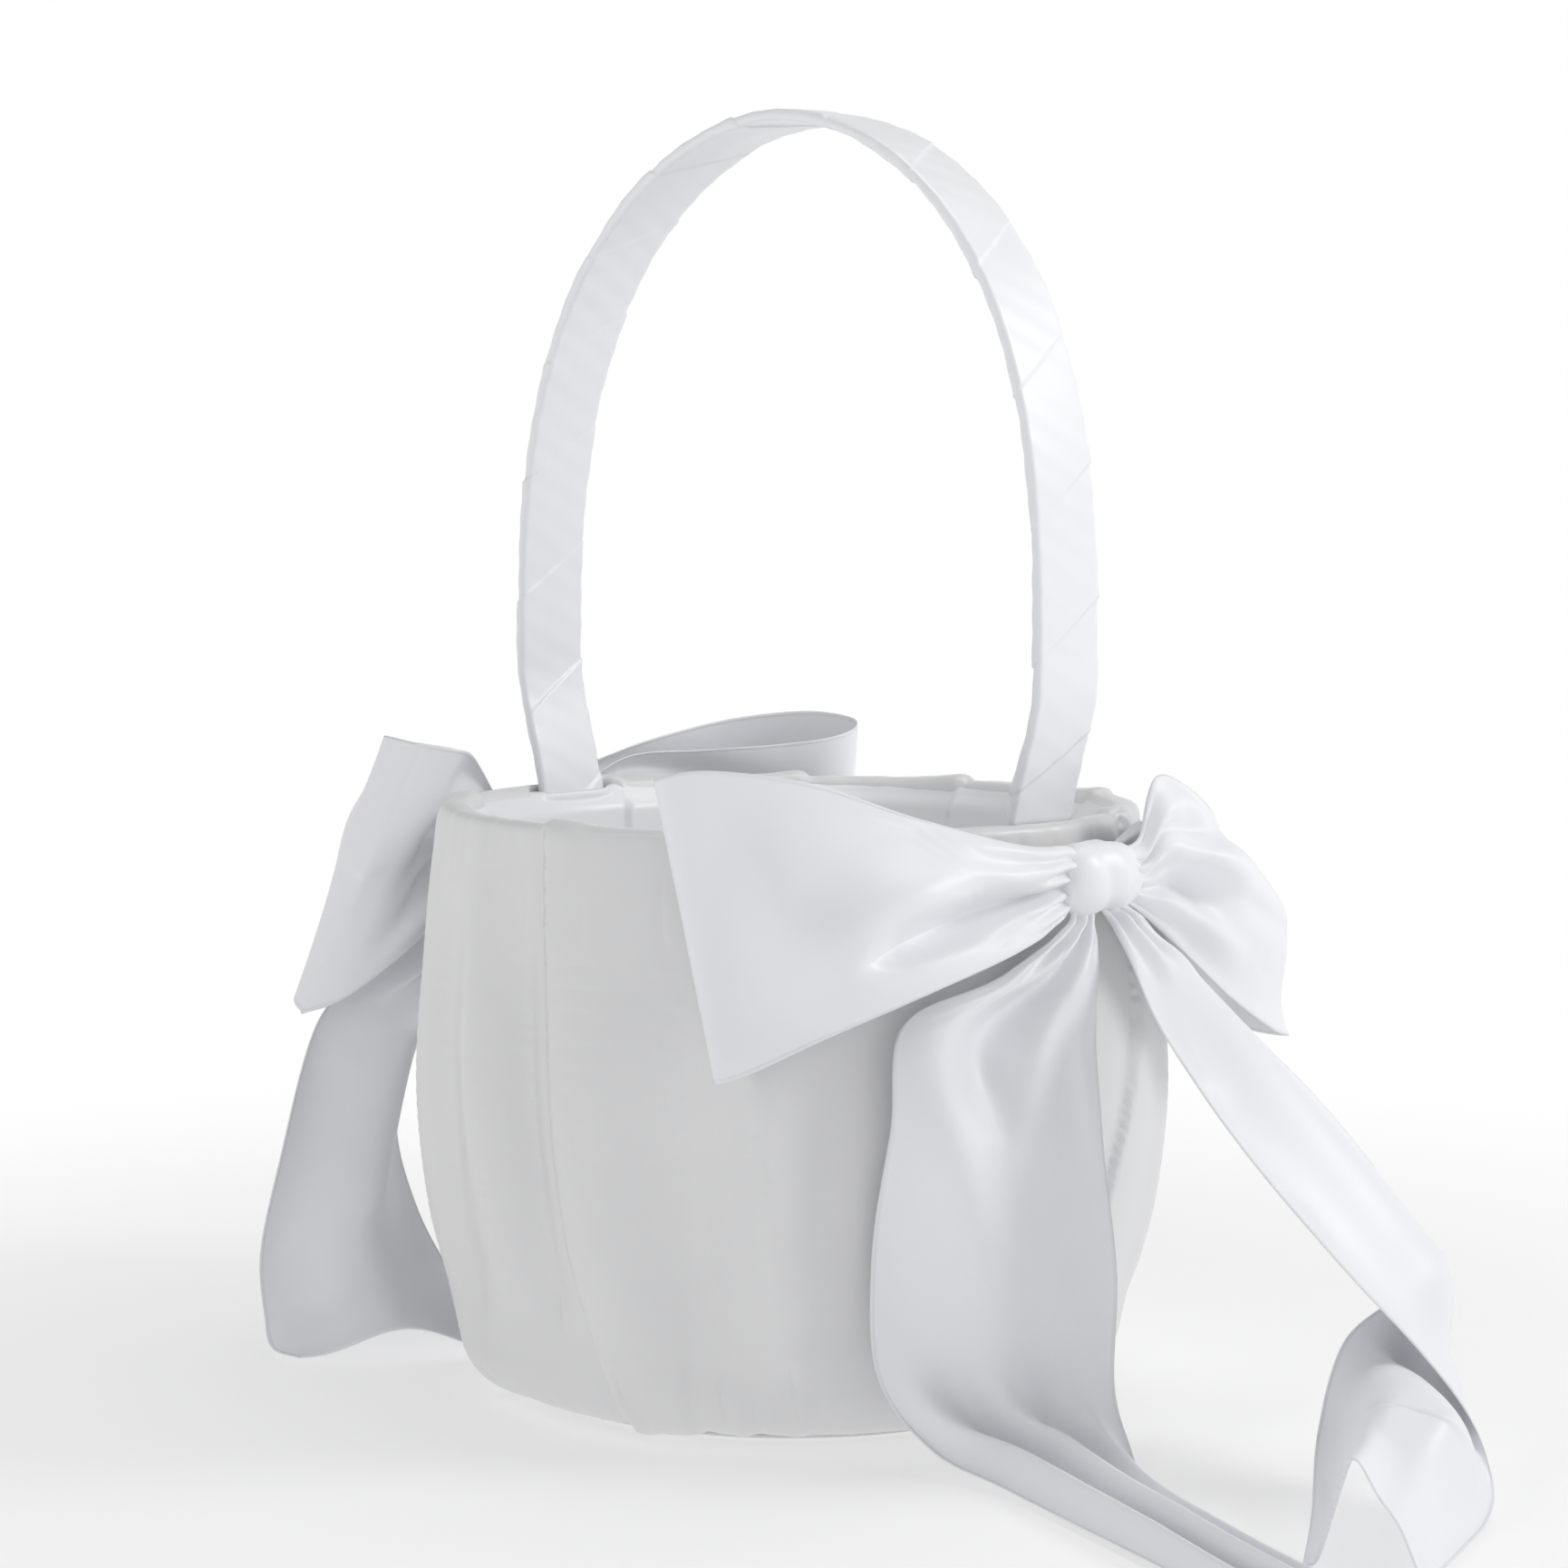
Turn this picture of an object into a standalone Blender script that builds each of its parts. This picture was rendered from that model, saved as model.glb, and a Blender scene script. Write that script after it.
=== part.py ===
"""Flower girl basket: a padded, satin-covered bucket with a wrapped arch handle and a bow at each leg.

+Z is up, the handle spans X, and the origin is the middle of the face the basket stands on.
"""

import math

import bmesh
import bpy
import numpy as np
from mathutils import Matrix, Vector

MM = 0.001
GAP = 0.3 * MM

# Driving dimensions of the body
BODY_HEIGHT = 121.8 * MM
RIM_RADIUS = 72.2 * MM
BELLY_RADIUS = 78.2 * MM
BELLY_HEIGHT = 66.0 * MM
FOOT_RADIUS = 55.0 * MM
EDGE_RADIUS = 15.0 * MM
EDGE_START = math.radians(8)
PAD_THICKNESS = 1.0 * MM
COVER_THICKNESS = 0.6 * MM
WALL_THICKNESS = 1.2 * MM
WALL_TOP_RADIUS = 71.0 * MM
WALL_FOOT_RADIUS = 56.0 * MM
WALL_FOOT_HEIGHT = 4.2 * MM
WALL_TOP_HEIGHT = BODY_HEIGHT - COVER_THICKNESS - GAP
BOARD_THICKNESS = 2.0 * MM
HEM_RADIUS = 36.0 * MM
LINING_THICKNESS = 0.6 * MM
LINING_SPACING = 6.1 * MM
CARD_RADIUS = 45.2 * MM
CARD_THICKNESS = 1.2 * MM
CARD_COVER_THICKNESS = 0.5 * MM
BATTING_TOP = 112.0 * MM
BATTING_CLEARANCE = 1.2 * MM
LIP_RISE = 0.4 * MM
BATTING_FOOT = 6.0 * MM
ROUND_STEPS = 40
BODY_PROFILE = (
    (RIM_RADIUS, BODY_HEIGHT - 1.0 * MM),
    (73.4 * MM, 111.0 * MM),
    (76.2 * MM, 92.0 * MM),
    (BELLY_RADIUS, BELLY_HEIGHT),
    (76.3 * MM, 42.0 * MM),
    (72.0 * MM, 24.0 * MM),
)

# Driving dimensions of the handle
HANDLE_TOP = 264.4 * MM
LEG_FOOT_HEIGHT = 84.0 * MM
LEG_RIM_REACH = 68.8 * MM
ARCH_REACH = 75.6 * MM
ARCH_WIDEST = 150.0 * MM
ARCH_FLATNESS_ACROSS = 1.88
ARCH_FLATNESS_UP = 2.75
ARCH_LEAN = 2.0 * MM
LEG_STEPS = 4
ARCH_STEPS = 16
BAND_WIDTH = 17.2 * MM
BAND_THICKNESS = 1.3 * MM
WRAP_CLEARANCE = 0.15 * MM
WRAP_THICKNESS = 0.45 * MM
WRAPPED_WIDTH = BAND_WIDTH + 2 * (WRAP_CLEARANCE + WRAP_THICKNESS)
WRAPPED_THICKNESS = BAND_THICKNESS + 2 * (WRAP_CLEARANCE + WRAP_THICKNESS)
RIVET_HEIGHTS = (92.0 * MM, 106.0 * MM)
RIVET_RADIUS = 1.1 * MM
RIVET_HOLE_RADIUS = 1.45 * MM
RIVET_HEAD_RADIUS = 2.6 * MM
RIVET_HEAD_THICKNESS = 0.7 * MM
RIVET_PLAY = 0.2 * MM
RIVET_SIDES = 14

# Driving dimensions of the bows
RIBBON_THICKNESS = 1.2 * MM
KNOT_CENTRE = Vector((82.3, 0.0, 112.0)) * MM
KNOT_SIZE = Vector((12.6, 21.0, 15.6)) * MM
KNOT_PULL = 0.22
GLUE_RADIUS = 5.5 * MM
GLUE_THICKNESS = 1.0 * MM
GLUE_REACH = 74.9 * MM

# Ribbon stations in millimetres, in the frame of the bow at +X: one edge, then the other edge.
# The left bow is the same frame turned half round.
RIGHT_LONG_LOOP = (
    ((82.6, -11.8, 119.0), (82.6, -11.8, 104.5)),
    ((81.6, -26.0, 120.0), (83.4, -25.0, 100.5)),
    ((77.0, -46.0, 126.0), (81.0, -46.0, 94.5)),
    ((67.5, -64.0, 133.0), (72.5, -64.5, 86.5)),
    ((54.5, -77.5, 135.5), (61.5, -74.0, 79.5)),
    ((46.2, -82.5, 134.0), (56.7, -78.2, 77.5)),
    ((40.5, -77.0, 132.0), (52.0, -72.5, 78.5)),
    ((43.0, -67.5, 129.0), (50.5, -65.0, 80.5)),
    ((53.0, -56.0, 125.0), (57.0, -57.0, 85.5)),
    ((66.0, -41.5, 122.0), (67.5, -42.0, 94.0)),
    ((74.5, -24.5, 119.5), (75.5, -24.5, 100.5)),
    ((78.2, -11.8, 118.0), (78.2, -11.8, 105.5)),
)
RIGHT_DROOPING_LOOP = (
    ((82.6, 11.8, 119.5), (82.6, 11.8, 104.5)),
    ((82.5, 18.0, 130.5), (86.0, 20.0, 97.5)),
    ((81.5, 30.0, 127.5), (88.0, 35.0, 86.0)),
    ((78.5, 42.0, 121.5), (86.0, 53.0, 77.0)),
    ((71.0, 50.0, 116.5), (78.5, 68.0, 73.5)),
    ((63.5, 49.5, 114.5), (69.5, 68.5, 73.5)),
    ((64.0, 42.0, 115.5), (67.5, 56.5, 77.5)),
    ((69.5, 33.0, 118.5), (73.5, 40.0, 87.0)),
    ((75.3, 22.0, 121.0), (77.5, 23.5, 98.0)),
    ((78.2, 11.8, 118.5), (78.2, 11.8, 105.5)),
)
LEFT_LONG_LOOP = (
    ((82.6, -11.8, 119.0), (82.6, -11.8, 104.5)),
    ((84.5, -24.0, 124.0), (86.0, -24.0, 99.0)),
    ((84.5, -42.0, 129.0), (88.0, -43.0, 92.0)),
    ((79.0, -60.0, 133.0), (84.0, -62.0, 84.0)),
    ((66.5, -73.0, 135.0), (71.0, -75.5, 79.5)),
    ((54.0, -76.0, 134.0), (58.0, -79.0, 78.5)),
    ((47.5, -70.5, 132.0), (52.0, -73.5, 79.5)),
    ((48.5, -62.0, 130.0), (52.5, -65.0, 81.5)),
    ((57.0, -52.0, 128.5), (59.5, -54.0, 86.5)),
    ((67.0, -39.5, 127.5), (68.5, -40.5, 94.0)),
    ((74.5, -24.5, 126.5), (75.5, -24.5, 100.5)),
    ((78.2, -11.8, 119.5), (78.2, -11.8, 105.5)),
)
LEFT_DROOPING_LOOP = (
    ((82.6, 11.8, 119.5), (82.6, 11.8, 104.5)),
    ((86.5, 19.0, 126.0), (91.0, 19.5, 99.0)),
    ((89.5, 28.0, 130.5), (98.0, 32.0, 86.0)),
    ((87.5, 36.5, 133.5), (101.5, 46.0, 76.5)),
    ((80.0, 41.0, 132.5), (96.5, 55.0, 73.5)),
    ((72.0, 38.5, 131.0), (87.5, 54.0, 75.5)),
    ((70.5, 30.5, 129.5), (80.0, 42.0, 84.0)),
    ((74.5, 20.5, 125.5), (79.5, 24.0, 96.0)),
    ((78.2, 11.8, 118.5), (78.2, 11.8, 105.5)),
)
RIGHT_FRONT_TAIL = (
    ((82.0, -10.0, 103.0), (82.0, -1.0, 103.0)),
    ((77.5, -24.0, 95.5), (84.5, -4.0, 92.0)),
    ((68.2, -41.8, 86.5), (88.0, -6.5, 78.0)),
    ((67.9, -44.6, 66.0), (90.5, -7.0, 60.0)),
    ((65.8, -46.1, 40.0), (92.0, -4.5, 36.0)),
    ((65.8, -44.1, 18.0), (91.5, -4.4, 14.0)),
    ((76.0, -40.0, 5.0), (99.0, -8.5, 3.6)),
    ((94.0, -40.5, 1.4), (110.0, -18.0, 1.4)),
    ((118.0, -49.0, 1.0), (131.0, -33.0, 1.0)),
    ((147.0, -60.0, 1.0), (157.0, -46.5, 1.0)),
    ((176.0, -72.0, 1.0), (184.0, -58.0, 1.0)),
)
RIGHT_BACK_TAIL = (
    ((85.0, 1.0, 103.0), (84.0, 10.5, 103.0)),
    ((93.5, -3.5, 97.0), (88.0, 12.0, 96.5)),
    ((108.0, -10.0, 84.0), (99.5, 19.0, 86.0)),
    ((126.5, -10.0, 65.0), (112.0, 30.0, 70.0)),
    ((143.5, -3.0, 45.0), (124.0, 38.0, 52.5)),
    ((155.0, 7.0, 28.5), (131.0, 41.0, 38.0)),
    ((162.0, 13.0, 16.0), (136.0, 27.0, 34.0)),
    ((168.0, 11.0, 6.0), (139.5, 4.0, 29.0)),
    ((173.0, 2.0, 1.8), (141.0, -6.0, 14.0)),
    ((179.0, -15.0, 1.0), (150.0, -20.0, 3.0)),
    ((187.0, -38.0, 1.0), (165.0, -43.0, 1.0)),
)
LEFT_FRONT_TAIL = (
    ((84.0, 2.0, 103.0), (84.0, 11.0, 103.0)),
    ((89.0, 6.0, 92.0), (91.0, 22.0, 92.0)),
    ((96.0, 10.0, 79.0), (97.5, 36.0, 80.0)),
    ((102.0, 12.0, 66.0), (99.0, 47.5, 69.0)),
    ((106.0, 15.0, 44.0), (98.5, 58.0, 41.0)),
    ((99.0, 16.0, 26.0), (101.0, 61.5, 21.0)),
    ((87.0, 19.0, 12.5), (96.0, 64.5, 8.5)),
    ((70.0, 22.5, 4.0), (91.0, 66.5, 2.6)),
    ((57.0, 27.0, 1.0), (85.0, 64.0, 1.0)),
)
LEFT_BACK_TAIL = (
    ((82.0, -10.0, 103.0), (82.0, -1.0, 103.0)),
    ((80.5, -17.0, 92.0), (86.0, -5.0, 91.0)),
    ((76.0, -33.0, 80.0), (92.0, -7.0, 76.0)),
    ((73.0, -42.0, 60.0), (97.0, -5.0, 54.0)),
    ((72.0, -44.0, 36.0), (100.0, -4.0, 32.0)),
    ((74.0, -44.0, 15.0), (103.0, -6.0, 12.0)),
    ((83.0, -44.0, 3.5), (111.0, -12.0, 2.4)),
    ((100.0, -47.0, 1.2), (124.0, -20.0, 1.2)),
    ((120.0, -57.0, 1.0), (140.0, -31.0, 1.0)),
    ((138.0, -70.0, 1.0), (155.0, -43.0, 1.0)),
)

# Colour, roughness and metallic value of each kind of surface
SATIN = ((0.86, 0.87, 0.89), 0.42, 0.0)
LINING_SATIN = ((0.86, 0.87, 0.89), 0.45, 0.0)
RIBBON_SATIN = ((0.88, 0.89, 0.91), 0.38, 0.0)
WADDING = ((0.88, 0.88, 0.86), 0.95, 0.0)
FELT = ((0.84, 0.84, 0.83), 0.95, 0.0)
BOARD = ((0.62, 0.60, 0.56), 0.85, 0.0)
BAND_PLASTIC = ((0.80, 0.80, 0.78), 0.5, 0.0)
STEEL = ((0.62, 0.62, 0.63), 0.35, 1.0)
HOT_GLUE = ((0.72, 0.60, 0.42), 0.4, 0.0)


def clear_scene():
    for obj in list(bpy.data.objects):
        bpy.data.objects.remove(obj, do_unlink=True)


def new_collection(name):
    collection = bpy.data.collections.new(name)
    bpy.context.scene.collection.children.link(collection)
    return collection


def material(name, finish):
    colour, roughness, metallic = finish
    made = bpy.data.materials.new(name)
    made.use_nodes = True
    shader = made.node_tree.nodes["Principled BSDF"]
    shader.inputs["Base Color"].default_value = (*colour, 1.0)
    shader.inputs["Roughness"].default_value = roughness
    shader.inputs["Metallic"].default_value = metallic
    return made


def add_object(name, mesh, collection, finish=None):
    obj = bpy.data.objects.new(name, mesh)
    collection.objects.link(obj)
    if finish:
        mesh.materials.append(material(name, finish))
    return obj


def smooth_path(points, steps):
    """Points along a Catmull-Rom curve through the given points, with this many steps in each span."""
    rows = np.array(points, dtype=float)
    first = 2 * rows[0] - rows[1]
    last = 2 * rows[-1] - rows[-2]
    rows = np.concatenate([first[None], rows, last[None]])
    path = []
    for index in range(1, len(rows) - 2):
        a, b, c, d = rows[index - 1 : index + 3]
        for step in range(steps):
            t = step / steps
            path.append(0.5 * (2 * b + (c - a) * t + (2 * a - 5 * b + 4 * c - d) * t**2
                               + (3 * b - a - 3 * c + d) * t**3))
    path.append(rows[-2])
    return np.array(path)


def turned(name, profile, collection, finish, shell=None):
    """A profile of (radius, height) points turned about Z. A closed profile is a ring, an open one a shell."""
    mesh = bpy.data.meshes.new(name)
    closed = shell is None and profile[0][0] > 0
    points = [(radius, 0.0, height) for radius, height in profile]
    edges = [(i, i + 1) for i in range(len(points) - 1)]
    if closed:
        edges.append((len(points) - 1, 0))
    mesh.from_pydata(points, edges, [])
    obj = add_object(name, mesh, collection, finish)
    screw = obj.modifiers.new("Turn", "SCREW")
    screw.steps = ROUND_STEPS
    screw.render_steps = ROUND_STEPS
    screw.use_merge_vertices = True
    screw.merge_threshold = 0.00001
    screw.use_smooth_shade = True
    if shell:
        solid = obj.modifiers.new("Thickness", "SOLIDIFY")
        solid.thickness = shell
        solid.offset = -1.0
        solid.use_even_offset = True
    return obj


def rounded_edge(steps):
    """The lower edge of the body, from its side down to the flat it stands on."""
    centre = PAD_THICKNESS + GAP + EDGE_RADIUS
    points = []
    for step in range(steps + 1):
        angle = EDGE_START + (math.pi / 2 - EDGE_START) * step / steps
        points.append((FOOT_RADIUS + EDGE_RADIUS * math.cos(angle), centre - EDGE_RADIUS * math.sin(angle)))
    return points


def body_outline():
    """Outer face of the satin cover below its fold at the rim, top to bottom."""
    side = [tuple(point) for point in smooth_path(BODY_PROFILE, 2)]
    return side + rounded_edge(4)


def body_radius(height):
    outline = body_outline()[::-1]
    return float(np.interp(height, [point[1] for point in outline], [point[0] for point in outline]))


def wall_radius(height):
    """Outer radius of the rigid bucket, a plain taper."""
    share = (height - WALL_FOOT_HEIGHT) / (WALL_TOP_HEIGHT - WALL_FOOT_HEIGHT)
    return WALL_FOOT_RADIUS + (WALL_TOP_RADIUS - WALL_FOOT_RADIUS) * share


def wall_tilt():
    return math.atan2(WALL_TOP_RADIUS - WALL_FOOT_RADIUS, WALL_TOP_HEIGHT - WALL_FOOT_HEIGHT)


def add_box(name, low, high, collection):
    mesh = bpy.data.meshes.new(name)
    shape = bmesh.new()
    bmesh.ops.create_cube(shape, size=1.0)
    size = Vector(high) - Vector(low)
    bmesh.ops.scale(shape, vec=size, verts=shape.verts)
    bmesh.ops.translate(shape, vec=(Vector(high) + Vector(low)) / 2, verts=shape.verts)
    shape.to_mesh(mesh)
    shape.free()
    return add_object(name, mesh, collection)


def add_cylinder(name, radius, depth, matrix, collection, finish=None, sides=20):
    mesh = bpy.data.meshes.new(name)
    shape = bmesh.new()
    bmesh.ops.create_cone(shape, cap_ends=True, segments=sides, radius1=radius, radius2=radius, depth=depth)
    shape.to_mesh(mesh)
    shape.free()
    obj = add_object(name, mesh, collection, finish)
    obj.matrix_world = matrix
    return obj


def hide_cutter(obj):
    obj.hide_render = True
    obj.display_type = "WIRE"
    return obj


def cut(obj, cutter):
    boolean = obj.modifiers.new("Cut " + cutter.name, "BOOLEAN")
    boolean.operation = "DIFFERENCE"
    boolean.object = cutter
    boolean.solver = "EXACT"


def make_bucket_wall(parts):
    outer_foot = (wall_radius(WALL_FOOT_HEIGHT), WALL_FOOT_HEIGHT)
    outer_top = (WALL_TOP_RADIUS, WALL_TOP_HEIGHT)
    profile = [outer_top]
    for share in (0.35, 0.7):
        height = WALL_TOP_HEIGHT + (WALL_FOOT_HEIGHT - WALL_TOP_HEIGHT) * share
        profile.append((wall_radius(height), height))
    profile.append(outer_foot)
    profile.append((outer_foot[0] - WALL_THICKNESS, WALL_FOOT_HEIGHT))
    profile.append((outer_top[0] - WALL_THICKNESS, WALL_TOP_HEIGHT))
    return turned("bucket_wall", profile, parts, BOARD)


def disc(name, radius, bottom, thickness, collection, finish):
    """A flat round board."""
    mesh = bpy.data.meshes.new(name)
    shape = bmesh.new()
    bmesh.ops.create_cone(
        shape, cap_ends=True, segments=ROUND_STEPS, radius1=radius, radius2=radius, depth=thickness
    )
    bmesh.ops.translate(shape, vec=(0, 0, bottom + thickness / 2), verts=shape.verts)
    shape.to_mesh(mesh)
    shape.free()
    return add_object(name, mesh, collection, finish)


def make_batting(parts):
    """Quilt batting between bucket and cover. It stops short of the rivet heads in the wall."""
    clear = COVER_THICKNESS + GAP
    outer = [(body_radius(BATTING_TOP) - clear, BATTING_TOP)]
    for radius, height in body_outline():
        if BATTING_FOOT + 1.0 * MM < height < BATTING_TOP - 1.0 * MM:
            outer.append((radius - clear, height))
    outer.append((body_radius(BATTING_FOOT) - clear, BATTING_FOOT))
    inner = []
    for height in (BATTING_FOOT, (BATTING_FOOT + BATTING_TOP) / 2, BATTING_TOP):
        inner.append((wall_radius(height) + BATTING_CLEARANCE, height))
    turned("batting", outer + inner, parts, WADDING)


def make_cover(parts):
    """Satin skin: it starts on top of the bucket wall, folds over the rim and ends under the base."""
    top = BODY_HEIGHT
    rim = [
        (WALL_TOP_RADIUS - WALL_THICKNESS + 0.2 * MM, top),
        (RIM_RADIUS - 0.7 * MM, top - 0.05 * MM),
    ]
    hem = [(HEM_RADIUS, PAD_THICKNESS + GAP)]
    turned("satin_cover", rim + body_outline() + hem, parts, SATIN, shell=COVER_THICKNESS)


def lining_radius(height):
    return wall_radius(height) - LINING_SPACING


def make_lining(parts, cutters):
    """Satin cup inside the legs of the handle. Its lip reaches out to the wall, with a slot for each leg."""
    lip_height = WALL_TOP_HEIGHT + LIP_RISE
    floor = floor_bottom()
    profile = [
        (WALL_TOP_RADIUS - WALL_THICKNESS - GAP, lip_height),
        (lining_radius(lip_height) + 1.2 * MM, lip_height),
        (lining_radius(lip_height) + 0.2 * MM, lip_height - 1.0 * MM),
    ]
    for height in (90.0 * MM, 45.0 * MM):
        profile.append((lining_radius(height), height))
    corner = lining_radius(floor)
    profile += [(corner, floor + 3.0 * MM), (corner - 1.0 * MM, floor + 0.8 * MM), (corner - 3.2 * MM, floor)]
    profile.append((0.0, floor))
    lining = turned("lining", profile, parts, LINING_SATIN, shell=LINING_THICKNESS)
    for side, word in ((1, "right"), (-1, "left")):
        half = WRAPPED_WIDTH / 2 + GAP
        near = LEG_RIM_REACH - WRAPPED_THICKNESS - 0.6 * MM
        far = WALL_TOP_RADIUS + 1.0 * MM
        low = (min(side * near, side * far), -half, lip_height - 1.0 * MM)
        high = (max(side * near, side * far), half, lip_height + 2.0 * MM)
        cut(lining, hide_cutter(add_box("leg_slot_" + word, low, high, cutters)))


def floor_bottom():
    """Underside of the lining's floor, just above the base board."""
    return WALL_FOOT_HEIGHT + 0.1 * MM + BOARD_THICKNESS + GAP


def make_floor(parts):
    """The loose covered card that lies on the lining's floor."""
    bottom = floor_bottom() + LINING_THICKNESS + GAP
    disc("floor_card", CARD_RADIUS, bottom, CARD_THICKNESS, parts, BOARD)
    inner = CARD_RADIUS + GAP
    outer = inner + CARD_COVER_THICKNESS
    top = bottom + CARD_THICKNESS + GAP + CARD_COVER_THICKNESS
    profile = [(0.0, top), (outer - 0.5 * MM, top), (outer, top - 0.5 * MM), (outer, bottom)]
    turned("floor_card_cover", profile, parts, LINING_SATIN, shell=CARD_COVER_THICKNESS)


def leg_reach(height):
    """How far out the leg's outer face stands: along the wall below the rim, then out to the arch."""
    if height <= WALL_TOP_HEIGHT:
        return LEG_RIM_REACH - (WALL_TOP_HEIGHT - height) * math.tan(wall_tilt())
    span = ARCH_WIDEST - WALL_TOP_HEIGHT
    t = (height - WALL_TOP_HEIGHT) / span
    rise = math.tan(wall_tilt()) * span
    return (
        LEG_RIM_REACH * (2 * t**3 - 3 * t**2 + 1)
        + rise * (t**3 - 2 * t**2 + t)
        + ARCH_REACH * (3 * t**2 - 2 * t**3)
    )


def handle_half():
    """Outer face of the right half of the handle, foot to crown: two leg stretches and a superellipse."""
    points = []
    for share in (0.0, 0.5):
        height = LEG_FOOT_HEIGHT + (WALL_TOP_HEIGHT - LEG_FOOT_HEIGHT) * share
        points.append((leg_reach(height), height))
    for step in range(LEG_STEPS):
        height = WALL_TOP_HEIGHT + (ARCH_WIDEST - WALL_TOP_HEIGHT) * step / LEG_STEPS
        points.append((leg_reach(height), height))
    rise = HANDLE_TOP - ARCH_WIDEST
    for step in range(ARCH_STEPS + 1):
        angle = math.pi / 2 * step / ARCH_STEPS
        across = ARCH_REACH * math.cos(angle) ** (2 / ARCH_FLATNESS_ACROSS)
        points.append((across, ARCH_WIDEST + rise * math.sin(angle) ** (2 / ARCH_FLATNESS_UP)))
    return points


def handle_middle(extra):
    """Mid line of the wrapped band from foot to foot, run on past each foot by extra. The arch leans to +X."""
    right = np.array(handle_half())
    outer = np.vstack([right, (right * np.array([-1, 1]))[::-1][1:]])
    share = np.clip((outer[:, 1] - WALL_TOP_HEIGHT) / (HANDLE_TOP - WALL_TOP_HEIGHT), 0, 1)
    outer[:, 0] += ARCH_LEAN * share**2
    along = np.gradient(outer, axis=0)
    along /= np.linalg.norm(along, axis=1)[:, None]
    inward = np.stack([-along[:, 1], along[:, 0]], axis=1)
    middle = outer + inward * WRAPPED_THICKNESS / 2
    middle[0] -= along[0] * extra
    middle[-1] += along[-1] * extra
    return middle


def band(name, width, thickness, extra, collection, finish=None):
    """A flat strip bent along the handle."""
    shape = bmesh.new()
    rows = []
    for across, height in handle_middle(extra):
        rows.append([shape.verts.new((across, side * width / 2, height)) for side in (-1, 1)])
    for low, high in zip(rows, rows[1:]):
        shape.faces.new((low[0], low[1], high[1], high[0]))
    bmesh.ops.recalc_face_normals(shape, faces=shape.faces)
    mesh = bpy.data.meshes.new(name)
    shape.to_mesh(mesh)
    shape.free()
    obj = add_object(name, mesh, collection, finish)
    solid = obj.modifiers.new("Thickness", "SOLIDIFY")
    solid.thickness = thickness
    solid.offset = 0.0
    solid.use_even_offset = True
    return obj


def rivet_places():
    """Name and frame of each rivet. Its local Z points out through the leg and the wall."""
    for side, word in ((1, "right"), (-1, "left")):
        for height, level in zip(RIVET_HEIGHTS, ("lower", "upper")):
            face = leg_reach(height) - WRAPPED_THICKNESS
            turn = Matrix.Rotation(0 if side > 0 else math.pi, 4, "Z")
            lean = Matrix.Rotation(math.pi / 2 + wall_tilt(), 4, "Y")
            yield f"handle_rivet_{word}_{level}", turn @ Matrix.Translation((face, 0, height)) @ lean


def make_rivets(parts, cutters, pierced):
    leg_to_wall = WALL_TOP_RADIUS - WALL_THICKNESS - LEG_RIM_REACH
    reach = WRAPPED_THICKNESS + leg_to_wall + WALL_THICKNESS + RIVET_PLAY
    inside = -RIVET_PLAY
    head = RIVET_HEAD_THICKNESS
    profile = [
        (0.0, reach + head),
        (RIVET_HEAD_RADIUS * 0.8, reach + head),
        (RIVET_HEAD_RADIUS, reach + head * 0.5),
        (RIVET_HEAD_RADIUS, reach),
        (RIVET_RADIUS, reach),
        (RIVET_RADIUS, inside),
        (RIVET_HEAD_RADIUS, inside),
        (RIVET_HEAD_RADIUS, inside - head * 0.5),
        (RIVET_HEAD_RADIUS * 0.8, inside - head),
        (0.0, inside - head),
    ]
    for name, place in rivet_places():
        rivet = turned(name, profile, parts, STEEL)
        rivet.modifiers["Turn"].steps = RIVET_SIDES
        rivet.modifiers["Turn"].render_steps = RIVET_SIDES
        rivet.matrix_world = place
        hole = add_cylinder(name + "_hole", RIVET_HOLE_RADIUS, 2 * reach, place, cutters, sides=RIVET_SIDES)
        hide_cutter(hole)
        for obj in pierced:
            cut(obj, hole)


def make_handle(parts, cutters):
    core = band("handle_core", BAND_WIDTH, BAND_THICKNESS, -0.5 * MM, parts, BAND_PLASTIC)
    wrap = band("handle_wrap", WRAPPED_WIDTH, WRAPPED_THICKNESS, 0.0, parts, RIBBON_SATIN)
    room = 2 * WRAP_CLEARANCE
    inside = band("handle_wrap_inside", BAND_WIDTH + room, BAND_THICKNESS + room, 2 * MM, cutters)
    cut(wrap, hide_cutter(inside))
    return core, wrap


def ribbon(name, stations, pivot, holder, collection):
    """A strip of ribbon between the two edges that the stations give, as a thin solid."""
    edges = np.array(stations) * MM - np.array(pivot)
    rows = smooth_path(edges, 2)
    shape = bmesh.new()
    columns = (0.0, 0.5, 1.0)
    grid = []
    for start, end in rows:
        grid.append([shape.verts.new(start + (end - start) * share) for share in columns])
    for low, high in zip(grid, grid[1:]):
        for i in range(len(columns) - 1):
            shape.faces.new((low[i], low[i + 1], high[i + 1], high[i]))
    bmesh.ops.recalc_face_normals(shape, faces=shape.faces)
    mesh = bpy.data.meshes.new(name)
    shape.to_mesh(mesh)
    shape.free()
    mesh.shade_smooth()
    obj = add_object(name, mesh, collection, RIBBON_SATIN)
    solid = obj.modifiers.new("Thickness", "SOLIDIFY")
    solid.thickness = RIBBON_THICKNESS
    solid.offset = 0.0
    obj.parent = holder
    obj.location = pivot


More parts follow.
